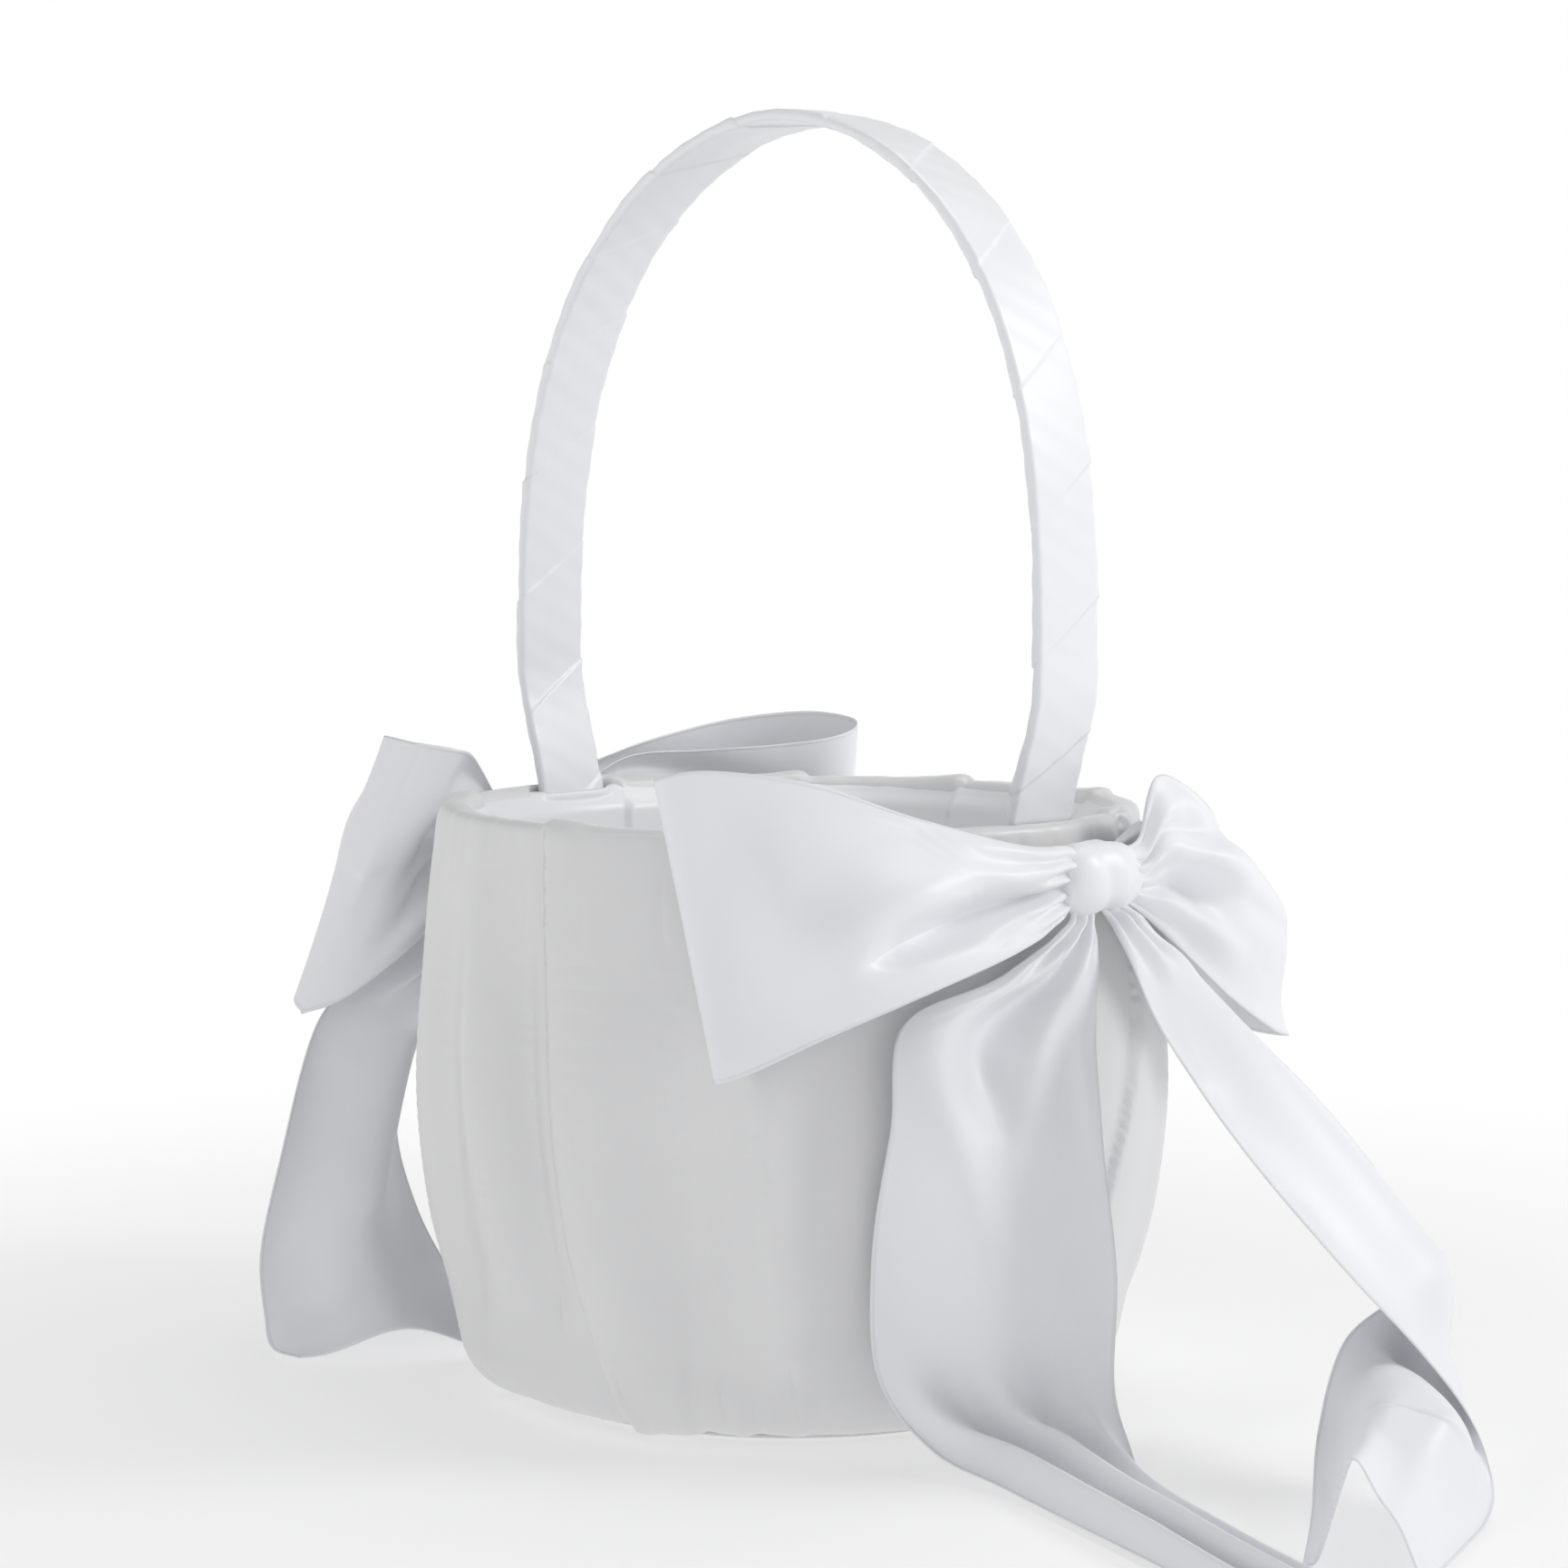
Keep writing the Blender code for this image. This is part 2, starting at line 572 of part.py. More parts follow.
def make_knot(name, holder, collection):
    """The gathered lump in the middle of a bow, from a coarse cage."""
    mesh = bpy.data.meshes.new(name)
    shape = bmesh.new()
    bmesh.ops.create_cube(shape, size=1.0)
    bmesh.ops.subdivide_edges(shape, edges=shape.edges, cuts=1, use_grid_fill=True)
    for vert in shape.verts:
        on_edge = abs(vert.co.x) > 0.4 and abs(vert.co.z) > 0.4
        pull = 1.0 - KNOT_PULL * on_edge
        vert.co.x *= KNOT_SIZE.x * pull
        vert.co.y *= KNOT_SIZE.y
        vert.co.z *= KNOT_SIZE.z * pull
    shape.to_mesh(mesh)
    shape.free()
    mesh.shade_smooth()
    obj = add_object(name, mesh, collection, RIBBON_SATIN)
    soft = obj.modifiers.new("Soft", "SUBSURF")
    soft.levels = 1
    soft.render_levels = 1
    obj.parent = holder
    obj.location = KNOT_CENTRE


def make_bow(word, turn, loops, tails, parts):
    """One tied bow: glue pad, knot, two loops and two tails, in a frame turned about the basket's axis."""
    holder = bpy.data.objects.new(word + "_bow", None)
    parts.objects.link(holder)
    holder.rotation_euler = (0, 0, turn)
    pad_place = Matrix.Translation((GLUE_REACH + GLUE_THICKNESS / 2, 0, KNOT_CENTRE.z))
    pad_place @= Matrix.Rotation(math.pi / 2, 4, "Y")
    pad = add_cylinder(word + "_bow_glue", GLUE_RADIUS, GLUE_THICKNESS, pad_place, parts, HOT_GLUE)
    pad.parent = holder
    pad.matrix_local = pad_place
    make_knot(word + "_bow_knot", holder, parts)
    for name, stations in loops.items():
        ribbon(f"{word}_bow_{name}_loop", stations, Vector((0, 0, 0)), holder, parts)
    for name, stations in tails.items():
        start, end = stations[0]
        pivot = (Vector(start) + Vector(end)) / 2 * MM
        ribbon(f"{word}_bow_{name}_tail", stations, pivot, holder, parts)


def main():
    clear_scene()
    parts = new_collection("flower_girl_basket")
    cutters = new_collection("cutters")
    board_radius = wall_radius(WALL_FOOT_HEIGHT) - WALL_THICKNESS - GAP
    wall = make_bucket_wall(parts)
    disc("base_board", board_radius, WALL_FOOT_HEIGHT + 0.1 * MM, BOARD_THICKNESS, parts, BOARD)
    make_batting(parts)
    make_cover(parts)
    disc("base_pad", FOOT_RADIUS - 2 * MM, 0.0, PAD_THICKNESS, parts, FELT)
    make_lining(parts, cutters)
    make_floor(parts)
    core, wrap = make_handle(parts, cutters)
    make_rivets(parts, cutters, (wall, core, wrap))
    loops = {"long": RIGHT_LONG_LOOP, "drooping": RIGHT_DROOPING_LOOP}
    tails = {"front": RIGHT_FRONT_TAIL, "back": RIGHT_BACK_TAIL}
    make_bow("right", 0.0, loops, tails, parts)
    loops = {"long": LEFT_LONG_LOOP, "drooping": LEFT_DROOPING_LOOP}
    tails = {"back": LEFT_BACK_TAIL, "front": LEFT_FRONT_TAIL}
    make_bow("left", math.pi, loops, tails, parts)


main()
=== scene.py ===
"""Looks of the flower girl basket: satin, ribbon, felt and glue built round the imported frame."""

import math

import bmesh
import bpy
import numpy as np
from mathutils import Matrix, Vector


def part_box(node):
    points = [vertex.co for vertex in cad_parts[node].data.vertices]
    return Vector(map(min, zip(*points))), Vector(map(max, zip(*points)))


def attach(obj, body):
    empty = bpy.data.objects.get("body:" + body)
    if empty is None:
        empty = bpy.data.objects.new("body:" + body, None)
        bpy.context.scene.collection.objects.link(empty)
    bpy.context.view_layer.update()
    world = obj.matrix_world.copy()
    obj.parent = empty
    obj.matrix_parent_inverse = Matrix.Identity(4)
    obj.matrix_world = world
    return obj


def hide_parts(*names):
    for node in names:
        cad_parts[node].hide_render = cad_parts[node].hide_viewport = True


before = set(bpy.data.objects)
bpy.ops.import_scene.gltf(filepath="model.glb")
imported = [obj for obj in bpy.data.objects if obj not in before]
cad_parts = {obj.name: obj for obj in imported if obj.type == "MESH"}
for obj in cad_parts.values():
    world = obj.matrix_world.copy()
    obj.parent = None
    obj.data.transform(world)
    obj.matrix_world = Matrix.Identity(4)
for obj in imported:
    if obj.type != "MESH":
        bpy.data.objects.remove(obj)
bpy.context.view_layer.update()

# Lengths and heights are in metres where MM is named, and in millimetres elsewhere
MM = 0.001
RIBBON = 58.0 * MM

# Frame dimensions in metres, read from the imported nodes
_, cover_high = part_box("satin_cover")
lining_low, lining_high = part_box("lining")
wall_low, wall_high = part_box("bucket_wall")
_, pad_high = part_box("base_pad")
card_low, card_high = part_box("floor_card_cover")
wrap_low, wrap_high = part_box("handle_wrap")

# Body, in millimetres
WALL_TOP_R = wall_high.x / MM
WALL_FOOT_R = 56.0
BODY_PROFILE = ((72.2, 120.8), (73.4, 111.0), (76.2, 92.0), (78.2, 66.0), (76.3, 42.0), (72.0, 24.0))
FOOT_R = 55.0
EDGE_R = 15.0
EDGE_Z = 16.3


# ---------------- curves and grids


def smooth_path(points, steps):
    """Points along a Catmull-Rom curve through the given points."""
    rows = np.array(points, dtype=float)
    rows = np.concatenate([(2 * rows[0] - rows[1])[None], rows, (2 * rows[-1] - rows[-2])[None]])
    path = []
    for index in range(1, len(rows) - 2):
        a, b, c, d = rows[index - 1 : index + 3]
        for step in range(steps):
            t = step / steps
            path.append(0.5 * (2 * b + (c - a) * t + (2 * a - 5 * b + 4 * c - d) * t**2
                               + (3 * b - a - 3 * c + d) * t**3))
    path.append(rows[-2])
    return np.array(path)


def ease(low, high, value):
    """A smooth step from 0 at low to 1 at high."""
    t = np.clip((value - low) / (high - low), 0.0, 1.0)
    return t * t * (3 - 2 * t)


def soften(values, rounds):
    """Smooth rows with their neighbours, in place. The first and last rows stay."""
    for _ in range(rounds):
        values[1:-1] = (values[:-2] + 2 * values[1:-1] + values[2:]) / 4


def crease(flat, points, before, after, closed=None):
    """Height of a fold along a line on the flat cloth.

    Points are (x, y, height), and the two spreads are on either side of the line. On a ring of cloth, closed is
    the distance round it.
    """
    path = smooth_path(points, 12)
    direction = np.gradient(path[:, :2], axis=0)
    direction /= np.linalg.norm(direction, axis=1)[:, None] + 1e-12
    offset = flat[:, :, None, :] - path[None, None, :, :2]
    if closed:
        offset[..., 0] -= closed * np.round(offset[..., 0] / closed)
    square = (offset**2).sum(axis=3)
    nearest = square.argmin(axis=2)
    picked = np.take_along_axis(square, nearest[:, :, None], axis=2)[:, :, 0]
    rows, columns = np.indices(nearest.shape)
    gap = offset[rows, columns, nearest]
    along = direction[nearest]
    side = along[..., 0] * gap[..., 1] - along[..., 1] * gap[..., 0]
    spread = np.where(side > 0, after, before)
    return path[:, 2][nearest] * np.exp(-0.5 * picked / spread**2)


def add_object(name, data):
    obj = bpy.data.objects.new(name, data)
    bpy.context.scene.collection.objects.link(obj)
    return obj


def grid_object(name, points, flat=None, wrap=False):
    """A mesh from a grid of points, with a UV map that holds the cloth's own coordinates in metres."""
    rows, columns = points.shape[:2]
    vertices = points.reshape(-1, 3)
    faces = []
    loops = []
    last = columns if wrap else columns - 1
    for row in range(rows - 1):
        for column in range(last):
            right = (column + 1) % columns
            faces.append((row * columns + column, row * columns + right,
                          (row + 1) * columns + right, (row + 1) * columns + column))
            loops.append(((row, column), (row, column + 1), (row + 1, column + 1), (row + 1, column)))
    mesh = bpy.data.meshes.new(name)
    mesh.from_pydata(vertices.tolist(), [], faces)
    if flat is not None:
        layer = mesh.uv_layers.new(name="cloth")
        at = np.array(loops).reshape(-1, 2)
        values = flat[at[:, 0], at[:, 1]]
        layer.data.foreach_set("uv", values.astype(np.float32).ravel())
    mesh.shade_smooth()
    return add_object(name, mesh)


def mend(obj, merge=0.0, close=False):
    """Drop loose vertices, merge doubled ones, close open ends, and turn every face outward."""
    shape = bmesh.new()
    shape.from_mesh(obj.data)
    bmesh.ops.delete(shape, geom=[vertex for vertex in shape.verts if not vertex.link_faces], context="VERTS")
    if merge:
        bmesh.ops.remove_doubles(shape, verts=shape.verts, dist=merge)
    if close:
        bmesh.ops.holes_fill(shape, edges=[edge for edge in shape.edges if edge.is_boundary], sides=0)
    bmesh.ops.recalc_face_normals(shape, faces=shape.faces)
    shape.to_mesh(obj.data)
    shape.free()


def ring_cloth(along, columns, radius):
    """Cloth coordinates of a turned sheet: metres along it, and round it at a radius in millimetres."""
    cloth = np.zeros((len(along), columns + 1, 2))
    cloth[..., 0] = along[:, None]
    cloth[..., 1] = (np.arange(columns + 1) / columns * 2 * math.pi * radius * MM)[None]
    return cloth


def turned(radius, turn, z):
    """Points in metres of a form turned about Z, from radii and heights in millimetres."""
    return np.stack([radius * np.cos(turn)[None], radius * np.sin(turn)[None], z + 0 * radius], axis=2) * MM


def thicken(obj, thickness, offset=-1.0):
    """Give a sheet its thickness: behind its face at -1, in front at 1, and on both sides at 0."""
    solid = obj.modifiers.new("Cloth thickness", "SOLIDIFY")
    solid.thickness = thickness
    solid.offset = offset


def dress(obj, material):
    obj.data.materials.clear()
    obj.data.materials.append(material)


def settle(obj, material, node, body="root"):
    """Give a piece its material, its body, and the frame's node that it replaces."""
    dress(obj, material)
    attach(obj, body)
    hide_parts(node)


# ---------------- materials


class Nodes:
    """A short way to write the node tree of a material or a world."""

    def __init__(self, owner):
        owner.use_nodes = True
        self.owner = owner
        self.tree = owner.node_tree
        self.shader = self.tree.nodes.get("Principled BSDF")

    def add(self, kind, **values):
        node = self.tree.nodes.new(kind)
        for key, value in values.items():
            setattr(node, key, value)
        return node

    def link(self, source, target):
        self.tree.links.new(source, target)

    def math(self, operation, a, b=0.0, c=0.0):
        node = self.add("ShaderNodeMath", operation=operation)
        for socket, value in zip(node.inputs, (a, b, c)):
            if isinstance(value, (int, float)):
                socket.default_value = value
            else:
                self.link(value, socket)
        return node.outputs[0]

    def scaled(self, vector, scale):
        node = self.add("ShaderNodeMapping")
        node.inputs["Scale"].default_value = scale
        self.link(vector, node.inputs["Vector"])
        return node.outputs["Vector"]

    def noise(self, vector, scale, detail=3.0, roughness=0.5):
        node = self.add("ShaderNodeTexNoise")
        node.inputs["Scale"].default_value = scale
        node.inputs["Detail"].default_value = detail
        node.inputs["Roughness"].default_value = roughness
        self.link(vector, node.inputs["Vector"])
        return node.outputs["Fac"]

    def spread(self, value, low, high, to_low, to_high):
        node = self.add("ShaderNodeMapRange")
        node.interpolation_type = "SMOOTHSTEP"
        self.link(value, node.inputs["Value"])
        for key, number in (("From Min", low), ("From Max", high), ("To Min", to_low), ("To Max", to_high)):
            node.inputs[key].default_value = number
        return node.outputs["Result"]

    def mix(self, factor, a, b):
        node = self.add("ShaderNodeMix", data_type="RGBA")
        self.link(factor, node.inputs["Factor"])
        for socket, value in ((node.inputs[6], a), (node.inputs[7], b)):
            if isinstance(value, tuple):
                socket.default_value = (*value, 1.0)
            else:
                self.link(value, socket)
        return node.outputs[2]

    def bump(self, height, distance, strength, normal=None):
        node = self.add("ShaderNodeBump")
        node.inputs["Distance"].default_value = distance
        node.inputs["Strength"].default_value = strength
        self.link(height, node.inputs["Height"])
        if normal is not None:
            self.link(normal, node.inputs["Normal"])
        return node.outputs["Normal"]


def satin(name, colour, shade, roughness, pitch, wrinkle, width=None):
    """Woven satin: fine warp and weft, soft wrinkles along the warp, and a selvedge where width is given."""
    n = Nodes(bpy.data.materials.new(name))
    cloth = n.add("ShaderNodeUVMap", uv_map="cloth").outputs["UV"]
    place = n.add("ShaderNodeTexCoord").outputs["Object"]
    split = n.add("ShaderNodeSeparateXYZ")
    n.link(cloth, split.inputs[0])
    along, across = split.outputs["X"], split.outputs["Y"]
    warp = n.math("SINE", n.math("MULTIPLY", across, 2 * math.pi / pitch))
    slant = n.math("MULTIPLY_ADD", across, 0.2, along)
    weft = n.math("SINE", n.math("MULTIPLY", slant, 2 * math.pi / (pitch * 1.6)))
    weave = n.math("MULTIPLY_ADD", warp, 0.65, n.math("MULTIPLY", weft, 0.35))
    soft = n.noise(n.scaled(cloth, (9.0, 42.0, 1.0)), 1.0, 1.0, 0.4)
    threads = n.noise(n.scaled(cloth, (260.0, 2600.0, 1.0)), 1.0, 2.0)
    cloud = n.noise(place, 38.0, 3.0)
    tone = n.math("MULTIPLY_ADD", threads, 0.25, n.math("MULTIPLY", cloud, 0.75))
    colour_now = n.mix(n.spread(tone, 0.3, 0.7, 0.0, 1.0), shade, colour)
    height = n.math("MULTIPLY_ADD", threads, 0.2, weave)
    normal = n.bump(soft, 0.0022, wrinkle)
    normal = n.bump(height, 0.00002, 0.05, normal)
    if width:
        near = n.math("MINIMUM", across, n.math("SUBTRACT", width, across))
        edge = n.spread(near, 0.0003, 0.0011, 1.0, 0.0)
        normal = n.bump(edge, 0.0003, 0.6, normal)
        colour_now = n.mix(n.math("MULTIPLY", edge, 0.35), colour_now, tuple(0.93 * part for part in shade))
    n.link(colour_now, n.shader.inputs["Base Color"])
    n.link(n.spread(tone, 0.25, 0.75, roughness - 0.05, roughness + 0.06), n.shader.inputs["Roughness"])
    n.link(normal, n.shader.inputs["Normal"])
    n.shader.inputs["Specular IOR Level"].default_value = 0.65
    n.shader.inputs["Sheen Weight"].default_value = 0.22
    n.shader.inputs["Sheen Roughness"].default_value = 0.35
    n.shader.inputs["Anisotropic"].default_value = 0.35
    return n.owner


def matte(name, colour, shade, roughness, scale, depth, metallic=0.0, stretch=(1.0, 1.0, 1.0)):
    """Board, felt, batting or metal: mottled colour with a grain."""
    n = Nodes(bpy.data.materials.new(name))
    place = n.add("ShaderNodeTexCoord").outputs["Object"]
    grain = n.noise(n.scaled(place, stretch), scale, 5.0, 0.6)
    broad = n.noise(place, scale * 0.06, 3.0)
    tone = n.math("MULTIPLY_ADD", grain, 0.6, n.math("MULTIPLY", broad, 0.4))
    n.link(n.mix(n.spread(tone, 0.3, 0.7, 0.0, 1.0), shade, colour), n.shader.inputs["Base Color"])
    n.link(n.spread(tone, 0.3, 0.7, roughness, roughness * 0.85), n.shader.inputs["Roughness"])
    n.link(n.bump(grain, depth, 0.5), n.shader.inputs["Normal"])
    n.shader.inputs["Metallic"].default_value = metallic
    return n.owner


def glue_material():
    n = Nodes(bpy.data.materials.new("hot_glue"))
    place = n.add("ShaderNodeTexCoord").outputs["Object"]
    cloud = n.noise(place, 240.0, 3.0)
    n.link(n.mix(cloud, (0.60, 0.49, 0.34), (0.78, 0.70, 0.56)), n.shader.inputs["Base Color"])
    n.link(n.spread(cloud, 0.3, 0.7, 0.22, 0.4), n.shader.inputs["Roughness"])
    n.link(n.bump(n.noise(place, 600.0), 0.0002, 0.3), n.shader.inputs["Normal"])
    n.shader.inputs["Subsurface Weight"].default_value = 0.25
    n.shader.inputs["Subsurface Scale"].default_value = 0.002
    return n.owner


WHITE = (0.742, 0.743, 0.75)
WHITE_SHADE = (0.72, 0.722, 0.73)
RIBBON_SATIN = satin("ribbon_satin", (0.835, 0.84, 0.87), (0.82, 0.825, 0.855), 0.45, 0.00034, 0.05, RIBBON)
WRAP_SATIN = satin("wrap_satin", (0.82, 0.83, 0.85), (0.805, 0.815, 0.835), 0.40, 0.00034, 0.05)
COVER_SATIN = satin("cover_satin", WHITE, WHITE_SHADE, 0.38, 0.00042, 0.12)
LINING_SATIN = satin("lining_satin", (0.84, 0.85, 0.86), (0.81, 0.82, 0.84), 0.38, 0.00042, 0.12)
BATTING = matte("batting_fibre", (0.86, 0.86, 0.84), (0.78, 0.78, 0.76), 0.95, 900.0, 0.0008)
FELT = matte("base_felt", (0.80, 0.80, 0.79), (0.72, 0.72, 0.71), 0.95, 1400.0, 0.0004)
BOARD = matte("paperboard", (0.60, 0.57, 0.52), (0.50, 0.47, 0.42), 0.85, 700.0, 0.0001)
BAND = matte("handle_band", (0.78, 0.78, 0.76), (0.74, 0.74, 0.72), 0.5, 500.0, 0.00005)
STEEL = matte("rivet_steel", (0.66, 0.66, 0.67), (0.55, 0.55, 0.57), 0.35, 2500.0, 0.00002, 1.0, (1.0, 1.0, 6.0))
GLUE = glue_material()


# ---------------- ribbon

RIBBON_THICKNESS = 0.3 * MM
RIBBON_COLUMNS = 73
ROW_GAP = 0.95 * MM
WIDTH_AIM = 0.95
MOST_GATHER = 2.6
TURN_SPAN = 0.07
TABLE_GAP = 0.5 * MM


def ribbon(side, strip, body, stations, outward, creases, lobes, room, fold_from=None):
    """A length of ribbon between two edge lines, creased along the given lines and gathered to its real width.

    Creases are in shares of the length and of the width, with a height and two spreads in millimetres.
    A lobe row is (count across, weight, shares where it rises, shares where it falls, phase, lean). Room is how
    deep the lobes may go along the length. Past fold_from the lobes turn to the other face, so both layers of a
    loop fill the space between them.
    """
    node = f"{side}_bow_{strip}"
    edges = smooth_path(stations, 14) * MM
    middle = edges.mean(axis=1)
    reach = np.concatenate([[0], np.cumsum(np.linalg.norm(np.diff(middle, axis=0), axis=1))])
    length = reach[-1]
    steps = int(length / ROW_GAP)
    share = np.linspace(0, 1, steps + 1)
    low, high = (np.stack([np.interp(share * length, reach, edges[:, edge, axis]) for axis in range(3)], axis=1)
                 for edge in (0, 1))
    across = np.linspace(0, 1, RIBBON_COLUMNS)
    base = low[:, None] * (1 - across)[None, :, None] + high[:, None] * across[None, :, None]
    tangent = np.gradient(base, axis=0)
    sideways = np.gradient(base, axis=1)
    normal = np.cross(tangent, sideways) * outward
    normal /= np.linalg.norm(normal, axis=2)[..., None] + 1e-12
    soften(normal, 6)
    chord = np.linalg.norm(high - low, axis=1)
    flat = np.zeros((steps + 1, len(across), 2))
    flat[..., 0] = (share * length)[:, None]
    flat[..., 1] = (across[None] - 0.5) * chord[:, None]
    height = np.zeros(flat.shape[:2])
    for points, before, after in creases:
        line = []
        for t, u, rise in points:
            line.append((t * length, (u - 0.5) * np.interp(t, share, chord), rise * MM))
        height += crease(flat, line, before * MM, after * MM)
    facing = np.ones(steps + 1)
    if fold_from is not None:
        facing = 1 - 2 * ease(fold_from - TURN_SPAN, fold_from + TURN_SPAN, share)
    wave = np.zeros_like(height)
    for count, weight, rise, fall, phase, lean in lobes:
        keep = weight * ease(rise[0], rise[1], share) * (1 - ease(fall[0], fall[1], share))
        drift = phase + 0.35 * np.sin(7 * share + phase) * (count > 1)
        wave += keep[:, None] * np.sin(np.pi * count * across[None] ** lean + drift[:, None]) ** 2
    wave *= np.clip(4 * across * (1 - across), 0, 1)[None] ** 0.5
    wave *= facing[:, None]
    target = np.minimum(chord * MOST_GATHER, WIDTH_AIM * RIBBON)
    smallest = np.zeros(steps + 1)
    largest = np.interp(share, [point[0] for point in room], [point[1] for point in room]) * MM
    for _ in range(18):
        trial = (smallest + largest) / 2
        surface = base + (height + trial[:, None] * wave)[..., None] * normal
        spans = np.linalg.norm(np.diff(surface, axis=1), axis=2).sum(axis=1)
        smallest = np.where(spans < target, trial, smallest)
        largest = np.where(spans < target, largest, trial)
    soften(trial, 30)
    surface = base + (height + trial[:, None] * wave)[..., None] * normal
    surface[..., 2] = np.maximum(surface[..., 2], TABLE_GAP)
    if side == "left":
        surface[..., :2] *= -1
    cloth = np.zeros((steps + 1, len(across), 2))
    cloth[..., 0] = (share * length)[:, None]
    cloth[..., 1] = across[None] * RIBBON
    obj = grid_object(f"{node}_ribbon", surface, cloth)
    thicken(obj, RIBBON_THICKNESS, 0.0)
    settle(obj, RIBBON_SATIN, node, body)


# Edge stations in millimetres, close to the frame's strips, with each end run on into the knot. The left bow's
# are given before its half turn about Z.
LONG_START = (((81.6, -7, 117), (81.6, -7, 107)), ((82.6, -11.8, 119), (82.6, -11.8, 104.5)))
DROOP_START = (((81.6, 7, 117), (81.6, 7, 107)), ((82.6, 11.8, 119.5), (82.6, 11.8, 104.5)))
DROOP_END = (((78.2, 11.8, 118.5), (78.2, 11.8, 105.5)), ((79.6, 7, 116.5), (79.6, 7, 107)))
TAIL_START = (((82, -7.5, 106.5), (82, -1, 106.5)), ((82, -10, 103), (82, -1, 103)))
RIGHT_LONG_LOOP = (
    *LONG_START,
    ((81.6, -26, 120), (83.4, -25, 100.5)),
    ((77, -46, 126), (81, -46, 94.5)),
    ((67.5, -64, 133), (72.5, -64.5, 86.5)),
    ((54.5, -77.5, 135.5), (61.5, -74, 79.5)),
    ((46.2, -82.5, 134), (56.7, -78.2, 77.5)),
    ((40.5, -77, 132), (52, -72.5, 78.5)),
    ((43, -67.5, 129), (50.5, -65, 80.5)),
    ((53, -56, 125), (57, -57, 85.5)),
    ((66, -41.5, 122), (67.5, -42, 94)),
    ((74.5, -24.5, 119.5), (75.5, -24.5, 100.5)),
    ((78.2, -11.8, 118), (78.2, -11.8, 105.5)),
    ((79.6, -7, 116.5), (79.6, -7, 107)),
)
RIGHT_DROOPING_LOOP = (
    *DROOP_START,
    ((82.5, 18, 130.5), (86, 20, 97.5)),
    ((81.5, 30, 127.5), (88, 35, 86)),
    ((78.5, 42, 121.5), (86, 53, 77)),
    ((71, 50, 116.5), (78.5, 68, 73.5)),
    ((63.5, 49.5, 114.5), (69.5, 68.5, 73.5)),
    ((64, 42, 115.5), (67.5, 56.5, 77.5)),
    ((69.5, 33, 118.5), (73.5, 40, 87)),
    ((75.3, 22, 121), (77.5, 23.5, 98)),
    *DROOP_END,
)
LEFT_LONG_LOOP = (
    *LONG_START,
    ((84.5, -24, 124), (86, -24, 99)),
    ((84.5, -42, 129), (88, -43, 92)),
    ((79, -60, 133), (84, -62, 84)),
    ((66.5, -73, 135), (71, -75.5, 79.5)),
    ((54, -76, 134), (58, -79, 78.5)),
    ((47.5, -70.5, 132), (52, -73.5, 79.5)),
    ((48.5, -62, 130), (52.5, -65, 81.5)),
    ((57, -52, 128.5), (59.5, -54, 86.5)),
    ((67, -39.5, 127.5), (68.5, -40.5, 94)),
    ((74.5, -24.5, 126.5), (75.5, -24.5, 100.5)),
    ((78.2, -11.8, 119.5), (78.2, -11.8, 105.5)),
    ((79.6, -7, 116.5), (79.6, -7, 107)),
)
LEFT_DROOPING_LOOP = (
    *DROOP_START,
    ((87.5, 19, 126), (93, 20, 99)),
    ((91, 28.5, 131), (101, 33, 87)),
    ((87.5, 36.5, 133.5), (104.5, 47.5, 77)),
    ((77, 37.2, 132.6), (95.5, 54, 73.9)),
    ((74.2, 36.6, 132.4), (93.2, 54.2, 74)),
    ((71, 30, 131), (87, 49, 77)),
    ((72, 25, 129.5), (80.5, 38, 86)),
    ((74.8, 19.5, 125.5), (79.5, 24, 96)),
    *DROOP_END,
)
RIGHT_FRONT_TAIL = (
    *TAIL_START,
    ((77.5, -24, 95.5), (84.5, -4, 92)),
    ((68.2, -41.8, 86.5), (88, -6.5, 78)),
    ((67.9, -44.6, 66), (90.5, -7, 60)),
    ((65.8, -46.1, 40), (92, -4.5, 36)),
    ((65.8, -44.1, 18), (91.5, -4.4, 14)),
    ((76, -40, 5), (99, -8.5, 3.6)),
    ((94, -40.5, 1.4), (110, -18, 1.4)),
    ((118, -49, 1), (131, -33, 1)),
    ((147, -60, 1), (157, -46.5, 1)),
    ((176, -72, 1), (184, -58, 1)),
)
RIGHT_BACK_TAIL = (
    ((83, 0.5, 106), (82.5, 8, 106)),
    ((85, 1, 103), (84, 10.5, 103)),
    ((93.5, -3.5, 97), (88, 12, 96.5)),
    ((108, -10, 84), (99.5, 19, 86)),
    ((126.5, -10, 65), (112, 30, 70)),
    ((143.5, -3, 45), (124, 38, 52.5)),
    ((155, 7, 28.5), (131, 41, 38)),
    ((162, 13, 16), (136, 27, 34)),
    ((168, 11, 6), (139.5, 4, 29)),
    ((173, 2, 1.8), (141, -6, 14)),
    ((179, -15, 1), (150, -20, 3)),
    ((187, -38, 1), (165, -43, 1)),
)
LEFT_FRONT_TAIL = (
    ((83, 1.5, 106), (83, 8, 106)),
    ((84, 2, 103), (84, 11, 103)),
    ((89, 6, 92), (91, 22, 92)),
    ((96, 10, 79), (97.5, 36, 80)),
    ((104.5, 13, 66), (99, 47.5, 69)),
    ((109, 16, 44), (98.5, 58, 41)),
    ((101.5, 17, 26), (101, 61.5, 21)),
    ((87, 19, 12.5), (96, 64.5, 8.5)),
    ((70, 22.5, 4), (91, 66.5, 2.6)),
    ((57, 27, 1), (85, 64, 1)),
)
